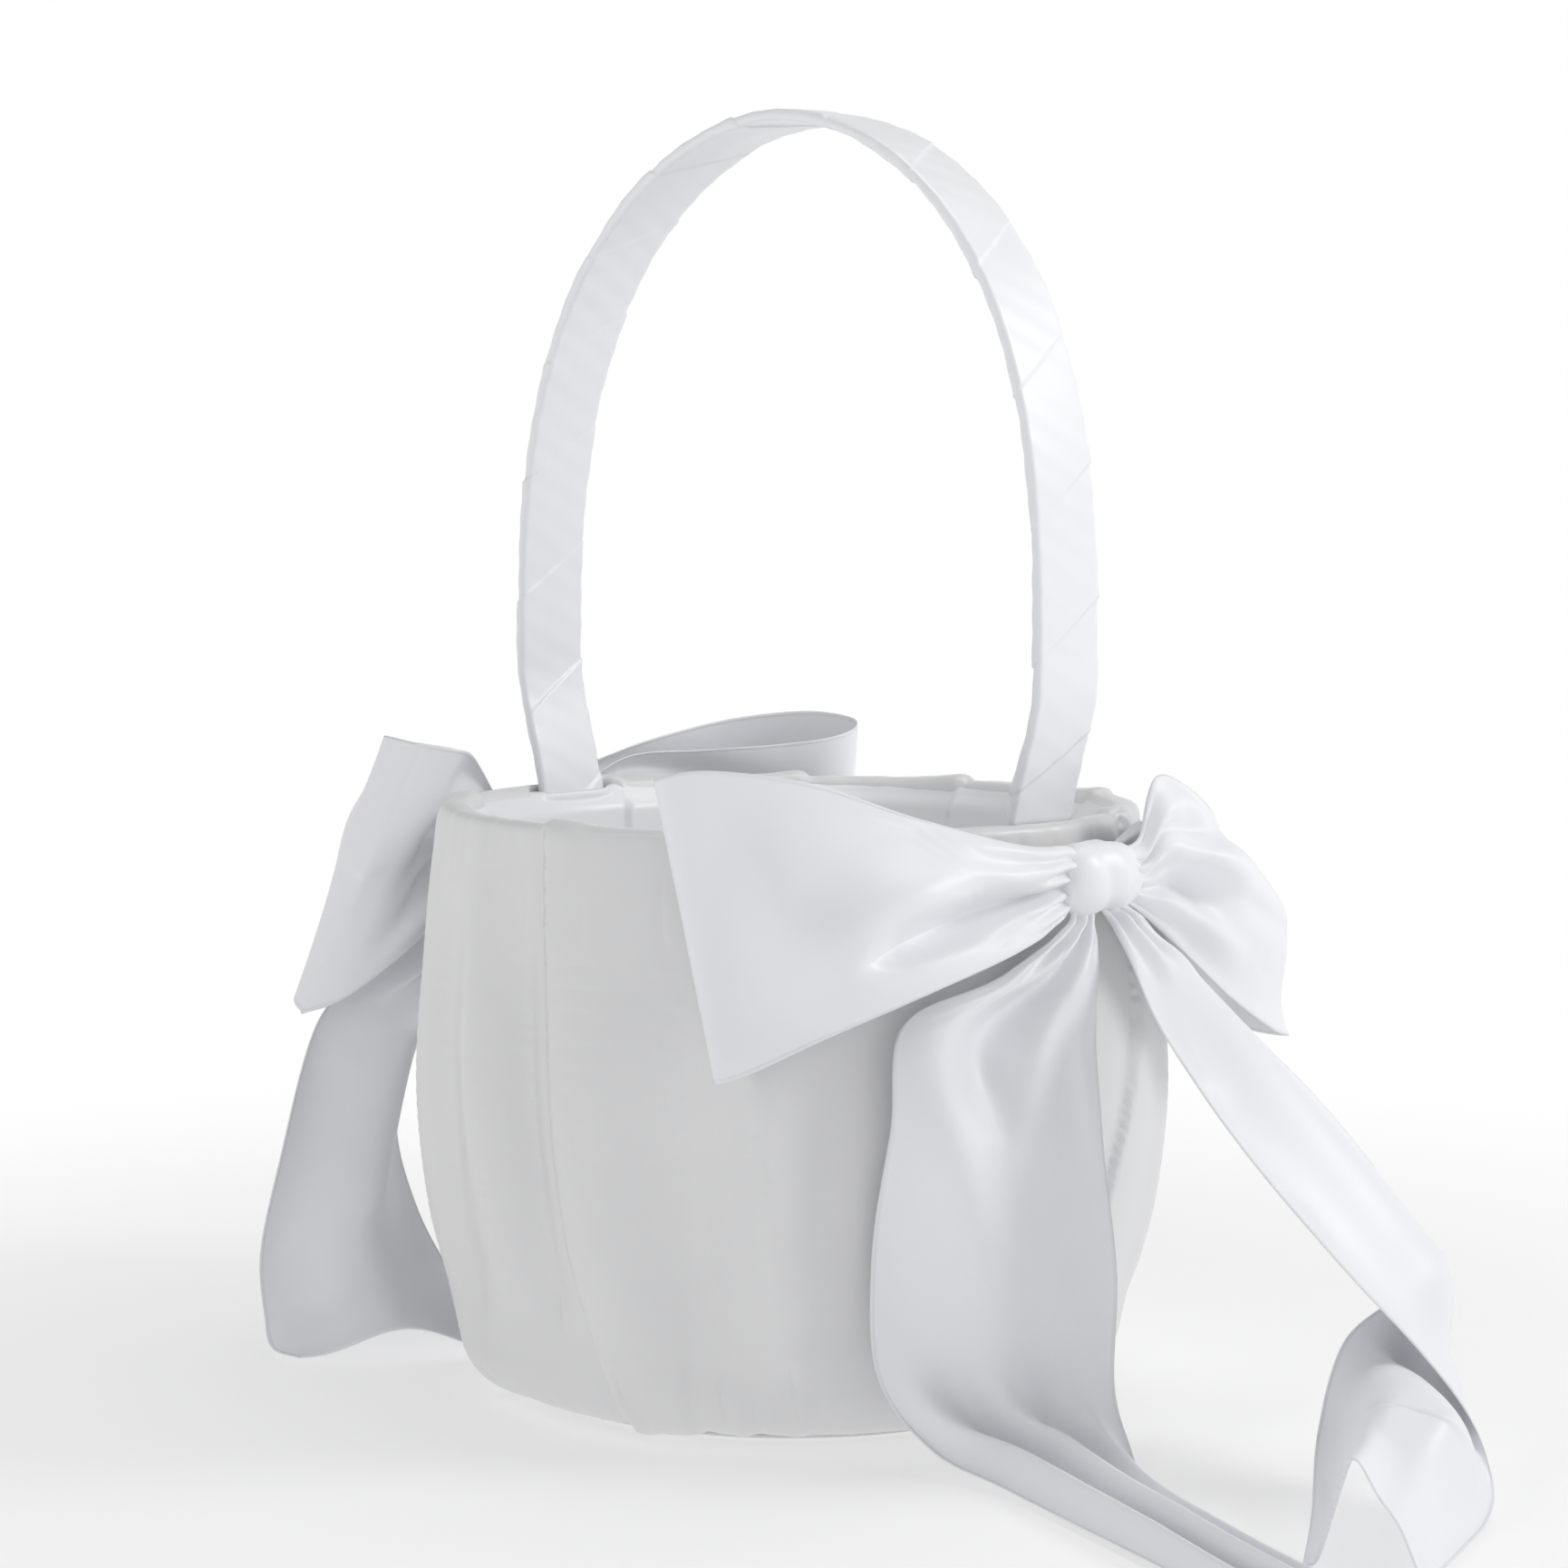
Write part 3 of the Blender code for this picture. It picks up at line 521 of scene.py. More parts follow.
LEFT_BACK_TAIL = (
    *TAIL_START,
    ((80.5, -17, 92), (86, -5, 91)),
    ((76, -33, 80), (92, -7, 76)),
    ((73, -42, 60), (97, -5, 54)),
    ((72, -44, 36), (100, -4, 32)),
    ((74, -44, 15), (103, -6, 12)),
    ((83, -44, 3.5), (111, -12, 2.4)),
    ((100, -47, 1.2), (124, -20, 1.2)),
    ((120, -57, 1), (140, -31, 1)),
    ((138, -70, 1), (155, -43, 1)),
)

# Folds of each ribbon: points (share along, share across, height), then the spread on either side. Lobes and room
# are explained at ribbon().
LONG_FOLDS = (
    (((0.03, 0.30, 1.5), (0.10, 0.33, 3.6), (0.17, 0.40, 5.0), (0.23, 0.46, 6.0), (0.28, 0.54, 6.6),
      (0.315, 0.64, 6.6), (0.325, 0.74, 5.6), (0.30, 0.82, 4.8), (0.25, 0.85, 4.8), (0.19, 0.84, 4.6),
      (0.12, 0.80, 3.6), (0.05, 0.72, 1.4)), 6.0, 3.2),
    (((0.03, 0.50, -1.0), (0.09, 0.54, -3.0), (0.16, 0.61, -4.2), (0.22, 0.66, -4.0), (0.27, 0.69, -2.0)), 3.0, 3.0),
    (((0.03, 0.15, 1.0), (0.09, 0.13, 2.6), (0.16, 0.13, 2.4), (0.24, 0.08, 0.4)), 2.6, 4.0),
)
LONG_LOBES = (
    (5, 0.4, (-1, 0), (0.05, 0.14), 0.4, 1.0),
    (3, 0.4, (0.03, 0.10), (0.12, 0.22), 1.1, 1.0),
    (1, 0.4, (0.15, 0.26), (0.38, 0.48), 0.0, 0.9),
    (1, 1.0, (0.5, 0.6), (0.74, 0.9), 0.0, 1.0),
    (3, 0.8, (0.68, 0.86), (2, 3), 0.5, 1.0),
)
LOOP_ROOM = ((0.0, 3.5), (0.07, 6.0), (0.2, 9.0), (0.45, 9.0), (0.55, 7.0), (0.65, 11.0), (0.8, 7.5), (0.92, 3.8),
             (1.0, 1.8))
DROOP_FOLDS = (
    (((0.02, 0.24, 1.9), (0.07, 0.29, 2.9), (0.15, 0.18, 2.2), (0.24, 0.10, 0.6)), 3.0, 2.2),
    (((0.02, 0.48, 2.4), (0.09, 0.50, 3.4), (0.22, 0.33, 2.6), (0.34, 0.25, 0.7)), 2.4, 3.4),
    (((0.02, 0.62, -1.7), (0.11, 0.61, -2.6), (0.25, 0.53, -1.7), (0.42, 0.56, -0.4)), 1.8, 2.6),
    (((0.02, 0.70, 1.7), (0.07, 0.78, 2.2), (0.16, 0.80, 1.7), (0.28, 0.78, 0.6)), 2.2, 4.0),
)
DROOP_LOBES = (
    (5, 0.4, (-1, 0), (0.05, 0.14), 1.4, 1.0),
    (3, 0.3, (0.05, 0.10), (0.15, 0.28), 0.2, 1.0),
    (1, 0.9, (0.06, 0.25), (0.42, 0.54), 0.0, 0.9),
    (1, 1.0, (0.5, 0.58), (0.64, 0.8), 0.0, 1.0),
    (3, 1.0, (0.55, 0.7), (2, 3), 0.9, 1.0),
)
LEFT_DROOP_FOLDS = (
    (((0.62, 0.50, -1.2), (0.74, 0.52, -2.4), (0.86, 0.50, -2.0), (0.96, 0.5, -0.8)), 3.0, 6.0),
)
LEFT_DROOP_LOBES = (
    (3, 0.4, (-1, 0), (0.05, 0.14), 1.4, 1.0),
    (1, 1.0, (0.04, 0.16), (0.42, 0.5), 0.0, 0.9),
    (1, 0.4, (0.52, 0.62), (0.8, 1.0), 0.0, 1.0),
    (3, 0.6, (0.6, 0.8), (2, 3), 0.9, 1.0),
)
LEFT_DROOP_ROOM = ((0.0, 3.5), (0.07, 6.0), (0.2, 12.0), (0.38, 13.0), (0.48, 4.0), (0.54, 2.0), (0.64, 8.0),
                   (0.8, 7.0), (0.92, 3.4), (1.0, 1.8))
FRONT_TAIL_FOLDS = (
    (((0.02, 0.30, 0.5), (0.07, 0.24, 3.0), (0.12, 0.18, 5.5), (0.18, 0.18, 7.5), (0.24, 0.24, 8.0), (0.30, 0.36, 6.5),
      (0.36, 0.50, 4.0), (0.44, 0.62, 1.5), (0.50, 0.70, 0.0)), 8.0, 6.0),
    (((0.03, 0.48, -0.5), (0.08, 0.46, -3.0), (0.13, 0.44, -4.0), (0.18, 0.42, -2.5), (0.24, 0.44, 0.0)), 3.0, 4.0),
    (((0.02, 0.62, 0.5), (0.07, 0.68, 3.0), (0.13, 0.72, 4.0), (0.20, 0.66, 3.0), (0.27, 0.58, 0.3)), 3.2, 5.0),
    (((0.03, 0.84, 0.5), (0.08, 0.88, 2.0), (0.16, 0.92, 1.6), (0.26, 0.95, 0.2)), 2.0, 1.6),
)
TAIL_LOBES = (
    (3, 0.6, (-1, 0), (0.04, 0.14), 0.8, 1.0),
    (2, 0.3, (0.04, 0.10), (0.12, 0.22), 0.3, 1.0),
    (1, 0.8, (0.16, 0.26), (0.40, 0.5), 0.0, 1.0),
    (3, 1.0, (0.40, 0.54), (2, 3), 0.2, 1.0),
)
TAIL_ROOM = ((0.0, 3.0), (0.06, 6.0), (0.4, 6.0), (0.55, 8.0), (1.0, 8.0))
BACK_TAIL_LOBES = (
    (4, 0.6, (-1, 0), (0.04, 0.14), 0.8, 1.0),
    (3, 0.6, (0.04, 0.12), (0.3, 0.6), 0.3, 1.0),
    (2, 1.0, (0.25, 0.5), (2, 3), 0.2, 1.0),
)
CURLED_TAIL_LOBES = (
    (4, 0.9, (-1, 0), (0.12, 0.34), 0.8, 1.0),
    (1, 1.0, (0.06, 0.24), (2, 3), 0.0, 1.0),
)
CURLED_ROOM = ((0.0, 3.5), (0.1, 9.0), (0.3, 13.5), (0.7, 13.5), (0.88, 8.0), (1.0, 6.0))
CURLED_FOLDS = (
    (((0.03, 0.40, -1.4), (0.12, 0.38, -2.0), (0.24, 0.34, -0.8)), 2.4, 3.2),
)
PLAIN_TAIL_FOLDS = (
    (((0.03, 0.30, 1.4), (0.12, 0.25, 2.0), (0.25, 0.15, 1.0)), 2.4, 3.2),
    (((0.03, 0.62, 1.4), (0.12, 0.66, 2.0), (0.28, 0.72, 0.8)), 2.4, 3.2),
    (((0.03, 0.46, -1.2), (0.12, 0.46, -1.6), (0.24, 0.44, -0.5)), 2.0, 2.0),
)
RAMP_FOLDS = (
    (((0.03, 0.30, 1.0), (0.10, 0.20, 1.2), (0.22, 0.10, 0.5)), 2.0, 3.0),
    (((0.03, 0.70, 1.0), (0.12, 0.80, 1.6), (0.30, 0.92, 1.2), (0.5, 0.96, 0.8)), 2.4, 1.6),
)
RAMP_LOBES = (
    (4, 0.6, (-1, 0), (0.04, 0.14), 0.8, 1.0),
    (1, 1.0, (0.03, 0.12), (0.5, 0.6), 0.0, 1.0),
    (1, 1.0, (0.56, 0.66), (2, 3), 0.0, 1.0),
    (2, 0.35, (0.62, 0.75), (2, 3), 0.3, 1.0),
)
RAMP_ROOM = ((0.0, 3.0), (0.1, 6.0), (0.25, 7.5), (0.5, 8.0), (0.64, 17.0), (1.0, 17.0))

for strip in (
    ("right", "long_loop", "root", RIGHT_LONG_LOOP, 1, LONG_FOLDS, LONG_LOBES, LOOP_ROOM, 0.5),
    ("right", "drooping_loop", "root", RIGHT_DROOPING_LOOP, -1, DROOP_FOLDS, DROOP_LOBES, LOOP_ROOM, 0.5),
    ("left", "long_loop", "root", LEFT_LONG_LOOP, 1, LONG_FOLDS, LONG_LOBES, LOOP_ROOM, 0.5),
    ("left", "drooping_loop", "root", LEFT_DROOPING_LOOP, -1, LEFT_DROOP_FOLDS, LEFT_DROOP_LOBES,
     LEFT_DROOP_ROOM, 0.55),
    ("right", "front_tail", "right_front_tail", RIGHT_FRONT_TAIL, 1, FRONT_TAIL_FOLDS, TAIL_LOBES, TAIL_ROOM),
    ("right", "back_tail", "right_back_tail", RIGHT_BACK_TAIL, 1, RAMP_FOLDS, RAMP_LOBES, RAMP_ROOM, 0.66),
    ("left", "back_tail", "left_back_tail", LEFT_BACK_TAIL, 1, PLAIN_TAIL_FOLDS, BACK_TAIL_LOBES, TAIL_ROOM),
    ("left", "front_tail", "left_front_tail", LEFT_FRONT_TAIL, 1, CURLED_FOLDS, CURLED_TAIL_LOBES, CURLED_ROOM, -1.0),
):
    ribbon(*strip)


# ---------------- knots and glue

KNOT_R = 7.0
# Folds over a knot: points (along the roll, round it, height) and two spreads, all in millimetres
KNOT_FOLDS = (
    (((-6.2, -14, 0.3), (-6.4, -5, 0.7), (-5.4, 4, 0.7), (-4.4, 14, 0.3)), 2.6, 2.6),
    (((-4.6, -14, -0.2), (-3.2, -4, -0.45), (-1.2, 4, -0.5), (1.2, 14, -0.3)), 1.8, 1.1),
    (((-1.2, -14, 0.4), (0.8, -6, 0.9), (3.0, 1, 1.1), (5.2, 9, 0.7)), 1.2, 3.8),
    (((8.4, -6, -0.3), (7.0, 1.5, -0.6), (4.4, 6.6, -0.6), (0.8, 11.0, -0.3)), 1.3, 1.9),
)


def knot(side):
    """Ribbon wound round the middle of a bow: a tapered roll with overlapping folds."""
    node = f"{side}_bow_knot"
    low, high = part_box(node)
    centre = (low + high) / 2
    half = (high - low) / 2
    long_way = np.linspace(-1, 1, 97)
    around = np.linspace(0, 2 * math.pi, 128, endpoint=False)
    taper = np.clip(1 - np.abs(long_way) ** 3.4, 0, 1) ** 0.42
    taper = 0.42 + 0.58 * taper
    y = long_way * half.y / MM * 1.02
    flat = np.zeros((len(long_way), len(around), 2))
    flat[..., 0] = y[:, None]
    arc = (around + math.pi) % (2 * math.pi) - math.pi
    flat[..., 1] = -arc[None] * KNOT_R
    height = np.zeros(flat.shape[:2])
    for points, before, after in KNOT_FOLDS:
        height += crease(flat, points, before, after)
    spread = 0.94 * taper[:, None] + height / KNOT_R * (0.4 + 0.6 * taper[:, None])
    points = np.zeros((len(long_way), len(around), 3))
    points[..., 0] = spread * np.cos(around)[None] * half.x
    points[..., 1] = y[:, None] * MM
    points[..., 2] = spread * np.sin(around)[None] * half.z
    if side == "left":
        points[..., :2] *= -1
    points += np.array(centre)
    cloth = ring_cloth(0.02 + y * MM, len(around), KNOT_R)[..., ::-1]
    obj = grid_object(f"{node}_ribbon", points, cloth, wrap=True)
    mend(obj, close=True)
    settle(obj, RIBBON_SATIN, node)


def glue_dab(side, seed):
    """A squeezed dab of hot glue, thinner at its uneven edge."""
    node = f"{side}_bow_glue"
    low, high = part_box(node)
    centre = (low + high) / 2
    half = (high - low) / 2
    radius = np.linspace(0.02, 1, 26)
    angle = np.linspace(0, 2 * math.pi, 72, endpoint=False)
    edge = 1 + 0.10 * np.sin(3 * angle + seed) + 0.07 * np.sin(5 * angle + 2 * seed) + 0.04 * np.sin(9 * angle)
    points = []
    for face in (1, -1):
        rows = radius if face > 0 else radius[::-1]
        for r in rows:
            bulge = (1 - r**4) ** 0.5
            lump = 1 + 0.12 * np.sin(4 * angle + seed) * r
            x = math.copysign(1, centre.x) * face * half.x * bulge * lump
            reach = half.y * r * edge
            points.append(np.stack([centre.x + x, centre.y + reach * np.cos(angle),
                                    centre.z + reach * np.sin(angle)], axis=1))
    obj = grid_object(f"{node}_dab", np.array(points), wrap=True)
    mend(obj, merge=0.01 * MM, close=True)
    settle(obj, GLUE, node)


knot("right")
knot("left")
glue_dab("right", 0.7)
glue_dab("left", 2.1)


# ---------------- body


def body_curve():
    """Radius and height of the cover's outer face, rim to hem, in millimetres."""
    side = smooth_path(BODY_PROFILE, 12)
    angle = np.linspace(math.radians(8), math.pi / 2, 22)
    edge = np.stack([FOOT_R + EDGE_R * np.cos(angle), EDGE_Z - EDGE_R * np.sin(angle)], axis=1)
    return np.vstack([side, edge])


def even_rows(curve, count):
    """The curve cut into evenly spaced points, with each point's distance along it."""
    reach = np.concatenate([[0], np.cumsum(np.linalg.norm(np.diff(curve, axis=0), axis=1))])
    where = np.linspace(0, reach[-1], count)
    return np.stack([np.interp(where, reach, curve[:, axis]) for axis in range(curve.shape[1])], axis=1), where


COVER_ROWS, COVER_COLUMNS, COVER_MEAN_R = 176, 760, 75.0
COVER_THICKNESS = 0.45 * MM
LINING_ROWS, LINING_COLUMNS, LINING_MEAN_R = 150, 560, 64.0
LINING_THICKNESS = 0.4 * MM
LINING_GAP = 6.1
LINING_LEG_R = 65.6
LEG_CLEAR = 69.9
LEG_AZIMUTHS = (0, 180)
WALL_CLEAR = 1.0
SLACK = 0.8
BATTING_DEPTH = 5.4
PLEAT_AZIMUTHS = (-126, -86.7, 21, 62, 100, 132, 168, 212)
LINING_LEANS = (3, -4, 5, -3, 2, -2, 4, -3)
# Spreads of a knife pleat's overlap and of the hollow beside it, and the hollow's share of the depth
PLEAT_SPREADS = (0.8, 9.0)
HOLLOW_SPREADS = (3.2, 0.6)
HOLLOW_SHARE = 0.45
# Lines of the knife pleats down the body: (azimuth in degrees, height), then the depth of the overlap
COVER_PLEATS = (
    (((-86.7, 122), (-84.4, 97), (-82.2, 74.5), (-80.2, 51.4), (-78.2, 29.4), (-76.4, 15.4), (-75.0, 4)), 1.5),
    (((-126.0, 122), (-124.5, 95), (-122.5, 60), (-121.0, 30), (-120.0, 4)), 1.3),
    (((21.0, 122), (18.2, 82), (16.0, 73), (9.0, 48), (5.0, 25), (3.0, 4)), 1.3),
    (((62.0, 122), (63.5, 90), (65.0, 50), (66.5, 4)), 1.2),
    (((100.0, 122), (101.5, 90), (103.5, 50), (106.0, 4)), 1.4),
    (((132.0, 122), (133.0, 90), (135.5, 50), (138.0, 4)), 1.1),
    (((168.0, 122), (169.5, 90), (172.5, 50), (175.0, 4)), 1.3),
    (((212.0, 122), (213.0, 90), (214.5, 50), (216.0, 4)), 1.1),
)
# Soft ridges and hollows between the pleats
COVER_DRAPES = (
    (((-77.5, 96, 0.8), (-77.0, 70, 3.0), (-75.5, 44, 4.2), (-74.0, 20, 2.6)), 4.0, 6.0),
    (((-64.0, 96, -0.8), (-62.0, 70, -2.6), (-60.0, 40, -3.8), (-58.0, 18, -2.1)), 7.0, 4.5),
    (((-50.5, 96, 1.2), (-50.0, 78, 3.4), (-48.5, 50, 4.1), (-46.0, 22, 2.6)), 3.6, 6.0),
    (((-101.0, 112, 0.8), (-99.0, 92, 3.0), (-96.5, 66, 3.8), (-95.0, 36, 2.6)), 5.0, 4.5),
    (((-91.5, 112, -0.4), (-89.5, 90, -2.2), (-87.5, 60, -3.2), (-85.5, 30, -2.4)), 4.0, 2.6),
    (((-112.0, 100, -1.0), (-110.0, 60, -2.6), (-109.0, 26, -1.8)), 5.0, 5.0),
    (((-24.0, 100, 0.5), (-25.0, 60, 1.7), (-26.0, 24, 1.1)), 5.0, 5.0),
    (((-8.0, 100, -0.5), (-9.0, 60, -1.3), (-10.0, 24, -0.9)), 6.0, 6.0),
    (((32.0, 110, 0.5), (31.0, 70, 1.7), (30.0, 30, 1.2)), 4.0, 5.0),
    (((46.0, 110, -0.5), (45.0, 70, -1.3), (44.0, 30, -0.9)), 6.0, 6.0),
    (((80.0, 110, 0.5), (81.0, 70, 1.9), (83.0, 30, 1.3)), 6.0, 5.0),
    (((116.0, 110, -0.4), (117.0, 70, -1.5), (118.0, 30, -1.1)), 6.0, 6.0),
    (((148.0, 110, 0.5), (150.0, 70, 1.9), (152.0, 30, 1.3)), 6.0, 6.0),
    (((190.0, 110, 0.5), (191.0, 70, 1.7), (192.0, 30, 1.2)), 6.0, 6.0),
)


def wall_radius(level):
    """Outer radius of the bucket wall at a height, both in millimetres."""
    foot, top = wall_low.z / MM, wall_high.z / MM
    return WALL_FOOT_R + (WALL_TOP_R - WALL_FOOT_R) * (level - foot) / (top - foot)


def angle_from(azimuth, centre):
    """Degrees from the centre, between -180 and 180."""
    return (azimuth - centre + 180) % 360 - 180


def pleat_peaks(azimuth):
    """Round the rim, 1 where a pleat's overlap ends and falling off on both sides."""
    peaks = np.zeros(len(azimuth))
    for pleat in PLEAT_AZIMUTHS:
        gap = angle_from(azimuth, pleat)
        peaks += np.where(gap > 0, np.exp(-0.5 * (gap / 4.5) ** 2), np.exp(-0.5 * (gap / 0.8) ** 2))
    return peaks


def ring_grid(levels, columns, radius):
    """Azimuths of a turned sheet in degrees, its millimetres per degree, and the flat grid its folds lie on."""
    azimuth = np.linspace(0, 360, columns, endpoint=False)
    degree = radius * math.radians(1)
    flat = np.zeros((len(levels), columns, 2))
    flat[..., 0] = ((azimuth + 150) % 360 - 150)[None] * degree
    flat[..., 1] = levels[:, None]
    return azimuth, degree, flat


def cover():
    """Pleated satin skin, from a lip turned over the rim, down the belly, to the hem under the base."""
    curve = body_curve()
    top = max(cover_high.z, lining_high.z) / MM
    lip = np.array([(66.9, top - 3.4), (66.95, top - 2.2), (67.3, top - 1.0), (68.1, top - 0.3), (69.6, top - 0.05),
                    (70.9, top - 0.05), (71.7, top - 0.35), (72.1, top - 1.0), (72.3, top - 2.4)])
    hem = np.array([(50.0, 1.2), (44.0, 1.3), (36.0, 1.3)])
    rows, where = even_rows(np.vstack([lip, curve[4:], hem]), COVER_ROWS)
    level = rows[:, 1]
    azimuth, degree, flat = ring_grid(level, COVER_COLUMNS, COVER_MEAN_R)
    turn = np.radians(azimuth)
    loop = 360 * degree
    height = np.zeros(flat.shape[:2])
    for points, depth in COVER_PLEATS:
        line = [(a * degree, z, depth) for a, z in points]
        height += crease(flat, line, *PLEAT_SPREADS, loop)
        line = [(a * degree, z, -HOLLOW_SHARE * depth) for a, z in points]
        height += crease(flat, line, *HOLLOW_SPREADS, loop)
    for points, before, after in COVER_DRAPES:
        line = [(a * degree, z, rise) for a, z, rise in points]
        height += crease(flat, line, before, after, loop)
    band = np.clip((level - 100) / 18, 0, 1)[:, None] * (rows[:, 0] > 60)[:, None]
    ripple = (np.sin(turn * 47 + 1.3 * np.sin(turn * 5)) * 0.16 + np.sin(turn * 83 + 2 * np.sin(turn * 7)) * 0.08)
    height += band * ripple[None] * (0.6 + 0.4 * np.sin(turn * 3 + 1))[None]
    under = np.clip((34 - level) / 26, 0, 1)[:, None]
    pucker = np.sin(turn * 38 + 1.7 * np.sin(turn * 4)) * 0.30 + np.sin(turn * 71) * 0.12
    height += under * pucker[None] * (0.5 + 0.5 * np.sin(turn * 5 + 0.6))[None]
    height -= SLACK * (1 - ease(90, 112, level))[:, None]
    outward = np.gradient(rows, axis=0)
    normal = np.stack([-outward[:, 1], outward[:, 0]], axis=1)
    normal /= np.linalg.norm(normal, axis=1)[:, None] + 1e-12
    strength = ease(4, 10.0, where) * ease(0, 14.0, where[-1] - where)
    strength = np.maximum(strength, 0.25 * ease(0, 2, where[-1] - where))
    moved = height * strength[:, None]
    radius = rows[:, 0][:, None] + normal[:, 0][:, None] * moved
    side = (level > 20) & (where > 12)
    wall = np.where(side, wall_radius(level) + WALL_CLEAR, 0)
    radius = np.maximum(radius, wall[:, None])
    z = rows[:, 1][:, None] + normal[:, 1][:, None] * moved
    rise = np.exp(-0.5 * ((where - 5.5) / 3.2) ** 2)
    z = z + (0.8 * pleat_peaks(azimuth)[None] - 0.25) * rise[:, None]
    at_lip = 1 - ease(8.0, 12.0, where)
    for leg in LEG_AZIMUTHS:
        gap = angle_from(azimuth, leg)
        clear = LEG_CLEAR / np.cos(np.radians(np.clip(gap, -30, 30)))
        beside = 1 - ease(8.2, 12.5, np.abs(gap))
        radius = radius + np.maximum(clear[None] - radius, 0) * beside[None] * at_lip[:, None]
    points = turned(radius, turn, np.maximum(z, 0.45))
    cloth = ring_cloth(where * MM, COVER_COLUMNS, COVER_MEAN_R)
    obj = grid_object("satin_cover_cloth", points, cloth, wrap=True)
    thicken(obj, COVER_THICKNESS)
    settle(obj, COVER_SATIN, "satin_cover")


def lining():
    """Pleated satin cup, with a lip that stops inside each leg of the handle."""
    floor = lining_low.z / MM + 0.6
    top = lining_high.z / MM
    levels = (top - 5.0, 112, 100, 85, 65, 45, 25, floor + 4)
    side = [(wall_radius(level) - LINING_GAP + 0.1, level) for level in levels]
    corner = wall_radius(floor) - LINING_GAP
    side += [(corner - 0.3, floor + 2.0), (corner - 1.4, floor + 0.5), (corner - 3.6, floor)]
    side += [(38.0, floor), (25.0, floor), (12.0, floor), (0.6, floor)]
    lip = [(68.9, top - 1.9), (68.2, top - 1.3), (67.5, top - 1.5), (66.7, top - 2.2), (66.35, top - 3.2)]
    rows, where = even_rows(np.array(lip + side), LINING_ROWS)
    azimuth, degree, flat = ring_grid(where, LINING_COLUMNS, LINING_MEAN_R)
    turn = np.radians(azimuth)
    height = np.zeros(flat.shape[:2])
    for pleat, lean in zip(PLEAT_AZIMUTHS, LINING_LEANS):
        line = [(pleat * degree, 4, 1.0), ((pleat + lean) * degree, 50, 0.9),
                ((pleat + lean * 1.6) * degree, 112, 0.4)]
        height += crease(flat, line, 0.4, 7.0, 360 * degree)
    soft = np.sin(turn * 11 + 1.0 * np.sin(turn * 3))[None] * 0.35 + np.sin(turn * 23 + 2)[None] * 0.14
    height += soft * ease(2, 30, where)[:, None]
    strength = ease(1.5, 7, where) * (1 - ease(112, 122, where))
    radius = rows[:, 0][:, None] - height * strength[:, None]
    for leg in LEG_AZIMUTHS:
        gap = angle_from(azimuth, leg)
        near = 1 - ease(8.4, 9.4, np.abs(gap))
        limit = LINING_LEG_R / np.cos(np.radians(np.clip(gap, -12, 12)))
        radius = np.where((near[None] > 0) & (radius > limit[None]),
                          radius * (1 - near[None]) + limit[None] * near[None], radius)
    z = rows[:, 1][:, None] + 0.5 * pleat_peaks(azimuth)[None] * np.exp(-0.5 * (where / 3.0) ** 2)[:, None]
    cloth = ring_cloth(where * MM, LINING_COLUMNS, LINING_MEAN_R)
    obj = grid_object("lining_cloth", turned(radius, turn, z), cloth, wrap=True)
    thicken(obj, LINING_THICKNESS, 1.0)
    settle(obj, LINING_SATIN, "lining")


def turned_piece(name, curve, columns, ripple, closed=False):
    """A turned soft form with an uneven surface. A closed curve makes a ring."""
    turn = np.linspace(0, 2 * math.pi, columns, endpoint=False)
    rows = np.array(curve)
    lump = np.array([[ripple * (math.sin(7 * a + 0.13 * z) * 0.5 + math.sin(13 * a + 0.21 * z + r) * 0.3
                                + math.sin(29 * a - 0.3 * z) * 0.2) for a in turn] for r, z in rows])
    radius = rows[:, 0][:, None] + lump
    points = turned(radius, turn, rows[:, 1][:, None])
    if closed:
        points = np.concatenate([points, points[:1]])
    cloth = ring_cloth(np.arange(len(points)) * MM, columns, rows[:, 0].max())
    obj = grid_object(name, points, cloth, wrap=True)
    mend(obj, merge=0.005 * MM)
    return obj


def batting():
    """Quilt batting round the bucket, under the cover."""
    low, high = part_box("batting")
    curve = body_curve()[::-1]
    levels = np.linspace(low.z / MM + 0.4, high.z / MM - 0.4, 40)
    outer = [(float(np.interp(level, curve[:, 1], curve[:, 0])) - BATTING_DEPTH, float(level)) for level in levels]
    inner = [(wall_radius(float(level)) + 1.8, float(level)) for level in levels[::-1]]
    obj = turned_piece("batting_ring", outer + inner, 140, 0.25, closed=True)
    settle(obj, BATTING, "batting")


def base_pad():
    """Felt disc under the base."""
    radius = pad_high.x / MM
    top = pad_high.z / MM
    curve = [(0.05, 0.12), (30.0, 0.06), (radius - 0.5, 0.03), (radius - 0.12, 0.2), (radius, 0.5),
             (radius - 0.12, top - 0.2), (radius - 0.5, top), (30.0, top), (0.05, top)]
    obj = turned_piece("base_pad_felt", curve, 160, 0.12)
    settle(obj, FELT, "base_pad")


def floor_cover():
    """Satin over the card on the basket's floor, turned down at its edge."""
    radius = card_high.x / MM
    top = card_high.z / MM
    low = card_low.z / MM
    curve = [(0.05, top), (15.0, top - 0.02), (30.0, top - 0.02), (radius - 1.2, top - 0.05),
             (radius - 0.35, top - 0.3), (radius - 0.02, top - 0.9), (radius - 0.1, low + 0.05)]
    rows, _ = even_rows(np.array(curve), 60)
    obj = turned_piece("floor_card_satin", rows, 200, 0.05)
    obj.data.flip_normals()
    thicken(obj, 0.25 * MM)
    settle(obj, LINING_SATIN, "floor_card_cover")


cover()
lining()
batting()
base_pad()
floor_cover()


# ---------------- handle

